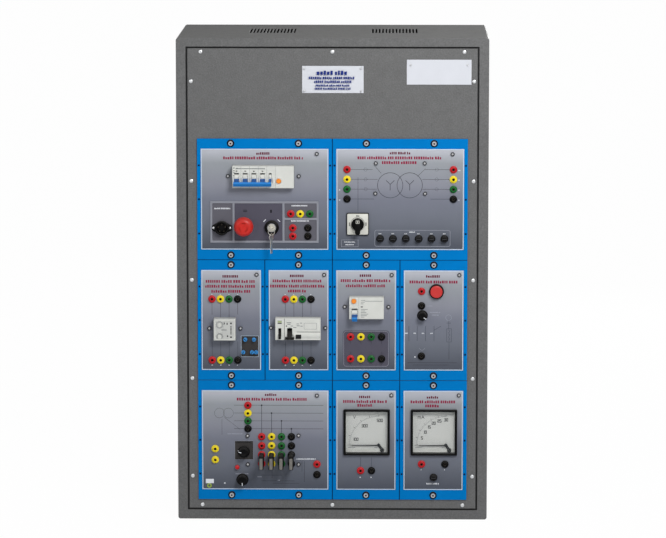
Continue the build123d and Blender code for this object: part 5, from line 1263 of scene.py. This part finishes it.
def meter(module, numbers, ticks, unit):
    """Square panel meter: bezel, dial, scale and pointer."""
    at = spot(module, *METER_CENTRE)
    pivot = at[0] + 25.2, at[1] - 28.4
    ink = DIAL_LEVEL, DIAL_LEVEL + 0.15
    case = Form()
    case.frame_plate(rectangle(at, 96, 96, 2.0), rectangle(at, 87, 87, 0.4), -6.9, 7.0, 1.0)
    case.plate(rectangle(at, 90, 90), -50, -7.0)
    case.stroke([(pivot[0] - 0.6, pivot[1] + 0.6), (pivot[0] + 6.4, pivot[1] - 9.4)], 5.4, -5.9,
                -4.6)
    case.turned((pivot[0] + 6.8, pivot[1] - 10.2), [(0, -5.9), (4.4, -5.9), (4.4, -1.2),
                                                    (3.8, -0.4), (0, -0.4)], 28)
    case.made(module + "_case", BLACK_PLASTIC, "black_plastic")
    dial = Form()
    dial.plate(rectangle(at, 86.6, 86.6), -7.0, DIAL_LEVEL)
    dial.made(module + "_dial", DIAL_CREAM, "dial_white",
              replaced=("meter_cases",) if module == "voltmeter" else ())
    lip = Form()
    lip.plate(rectangle((at[0], at[1] - 38.6), 80, 7.0), DIAL_LEVEL, DIAL_LEVEL + 0.4)
    lip.frame_plate(rectangle(at, 86.4, 86.4), rectangle(at, 83.4, 83.4), DIAL_LEVEL,
                    DIAL_LEVEL + 1.6, 0.3)
    lip.made(module + "_dial_edge", DEVICE_WHITE, "dial_white")
    bold, light = Form(), Form()
    light.arc(pivot, SCALE_RADIUS, 90, 180, 0.4, *ink, steps=60)
    for i in range(ticks + 1):
        turn = radians(180 - 90 * i / ticks)
        form, reach, width = (light, 2.4, 0.4) if i % 5 else (bold, 4.2, 0.7)
        form.stroke([polar(pivot, radius, turn) for radius in (SCALE_RADIUS, SCALE_RADIUS + reach)],
                    width, *ink)
    for number, turn, reach in numbers:
        digits(bold, number, polar(pivot, reach, radians(turn)), 5.6, *ink)
    letter = {"V": (((-2.4, 3.2), (0, -3.2), (2.4, 3.2)),),
              "mA": (((-7.4, -2.6), (-7.4, 1.6), (-4.8, 1.6), (-4.8, -2.6)),
                     ((-4.8, 1.6), (-2.2, 1.6), (-2.2, -2.6)),
                     ((0.2, -2.6), (2.8, 3.4), (5.4, -2.6)), ((1.2, -0.6), (4.4, -0.6)))}[unit]
    for path in letter:
        bold.stroke([(at[0] - 25.5 + px, at[1] + 30.5 + pz) for px, pz in path], 0.9, *ink)
    bold.stroke([(at[0] - 34.0, pivot[1] - 2.2), (at[0] - 34.0, pivot[1] + 2.2)], 0.6, *ink)
    for dx, wide in ((-31, 14), (19, 6)):
        light.plate(rectangle((at[0] + dx, at[1] - 33.4), wide, 1.0), *ink)
    bold.made(module + "_scale", BLACK_PRINT, "black_plastic")
    light.made(module + "_fine_scale", GREY_MARK, "black_plastic")
    needle = Form()
    needle.turned(pivot, [(0, -3.2), (3.2, -3.2), (3.2, -2.6), (2.6, -2.4), (0, -2.4)], 28)
    needle.plate([(pivot[0] - 57, pivot[1] - 0.7), (pivot[0], pivot[1] - 1.2),
                  (pivot[0], pivot[1] + 1.2), (pivot[0] - 57, pivot[1] + 0.7)], -3.1, -2.5)
    needle.made(module + "_needle", BLACK_PLASTIC, "toggle_black", module + "_pointer",
                (module + "_pointer",))


def meters():
    """The two panel meters and their windows."""
    meter("voltmeter", [(100, 166, 50), (300, 126, 50), (500, 88, 52)], 25, "V")
    meter("ammeter", [(5, 163, 52), (10, 148, 52), (15, 133, 52.5), (20, 119, 53), (25, 105, 53),
                      (30, 90, 53.5)], 30, "mA")
    panes = Form()
    for module in ("voltmeter", "ammeter"):
        panes.plate(rectangle(spot(module, *METER_CENTRE), 86.8, 86.8), 4.0, 5.5, 0.3)
    panes.made("meter_panes", WINDOW, "window_clear", replaced=("meter_windows",))


# ---------------- stage
def camera_and_light():
    """Camera at the photograph's angle, soft lamps and a pale floor."""
    scene = bpy.context.scene
    scene.view_settings.view_transform = "Standard"
    eye = bpy.data.cameras.new("camera")
    eye.lens, eye.sensor_width, eye.clip_end = 207.76, 36.0, 100
    holder = bpy.data.objects.new("camera", eye)
    holder.location = (0.1329, -8.0, 1.646)
    holder.rotation_euler = (radians(90 - 8.155), 0, radians(0.964))
    scene.collection.objects.link(holder)
    scene.camera = holder
    for name, place, aim, size, power in (
            ("key_lamp", (0.75, -2.1, 1.95), (0.05, 0, 0.85), 1.0, 46),
            ("fill_lamp", (-1.7, -2.4, 1.5), (0, 0, 0.6), 1.4, 9),
            ("rear_lamp", (0.8, 2.8, 1.3), (0, 0, 0.5), 1.6, 22)):
        light = bpy.data.lights.new(name, "AREA")
        light.shape, light.size, light.energy = "DISK", size, power
        item = bpy.data.objects.new(name, light)
        item.location = place
        item.rotation_euler = (Vector(aim) - Vector(place)).to_track_quat("-Z", "Y").to_euler()
        scene.collection.objects.link(item)

    scene.world = bpy.data.worlds.new("plain_room")
    scene.world.use_nodes = True
    tree = scene.world.node_tree
    backdrop = tree.nodes["Background"]
    backdrop.inputs["Color"].default_value = (1, 1, 1, 1)
    room = add(tree, "ShaderNodeBackground", {"Color": (0.93, 0.96, 1, 1), "Strength": 0.26})
    blended(tree, seen_directly(tree), room, backdrop, "World Output")

    ground, half = bpy.data.meshes.new("floor"), 40
    ground.from_pydata([(-half, -half, 0), (half, -half, 0), (half, half, 0), (-half, half, 0)], [],
                       [(0, 1, 2, 3)])
    floor = bpy.data.objects.new("floor", ground)
    scene.collection.objects.link(floor)
    pale = bpy.data.materials.new("pale_floor")
    pale.use_nodes = True
    tree = pale.node_tree
    shader = tree.nodes["Principled BSDF"]
    for key, value in (("Base Color", (0.9, 0.9, 0.9, 1)), ("Roughness", 0.9),
                       ("Specular IOR Level", 0.1)):
        shader.inputs[key].default_value = value
    glow = add(tree, "ShaderNodeEmission", {"Color": (1, 1, 1, 1), "Strength": 1.0})
    blended(tree, sums(tree, "MULTIPLY", seen_directly(tree), 0.985), shader, glow,
            "Material Output")
    ground.materials.append(pale)


def blended(tree, share, first, second, output):
    """Sends two shaders to the output, the second by its share."""
    mixed = add(tree, "ShaderNodeMixShader", {"Fac": share, 1: first.outputs[0],
                                              2: second.outputs[0]})
    tree.links.new(mixed.outputs[0], tree.nodes[output].inputs["Surface"])


def seen_directly(tree):
    """One for what the camera, a gloss or a glass looks at."""
    path = add(tree, "ShaderNodeLightPath").outputs
    seen = sums(tree, "MAXIMUM", path["Is Camera Ray"], path["Is Glossy Ray"])
    return sums(tree, "MAXIMUM", seen, path["Is Transmission Ray"])


camera_and_light()
cabinet()
fasteners()
sockets()
titles()
schematics()
plate_details()
header_plates()
breaker()
relay()
recloser()
residual_switch()
mains_inlet()
emergency_stop()
key_switch()
selector_switch()
fuses()
fault_controls()
bridging_plugs()
meters()
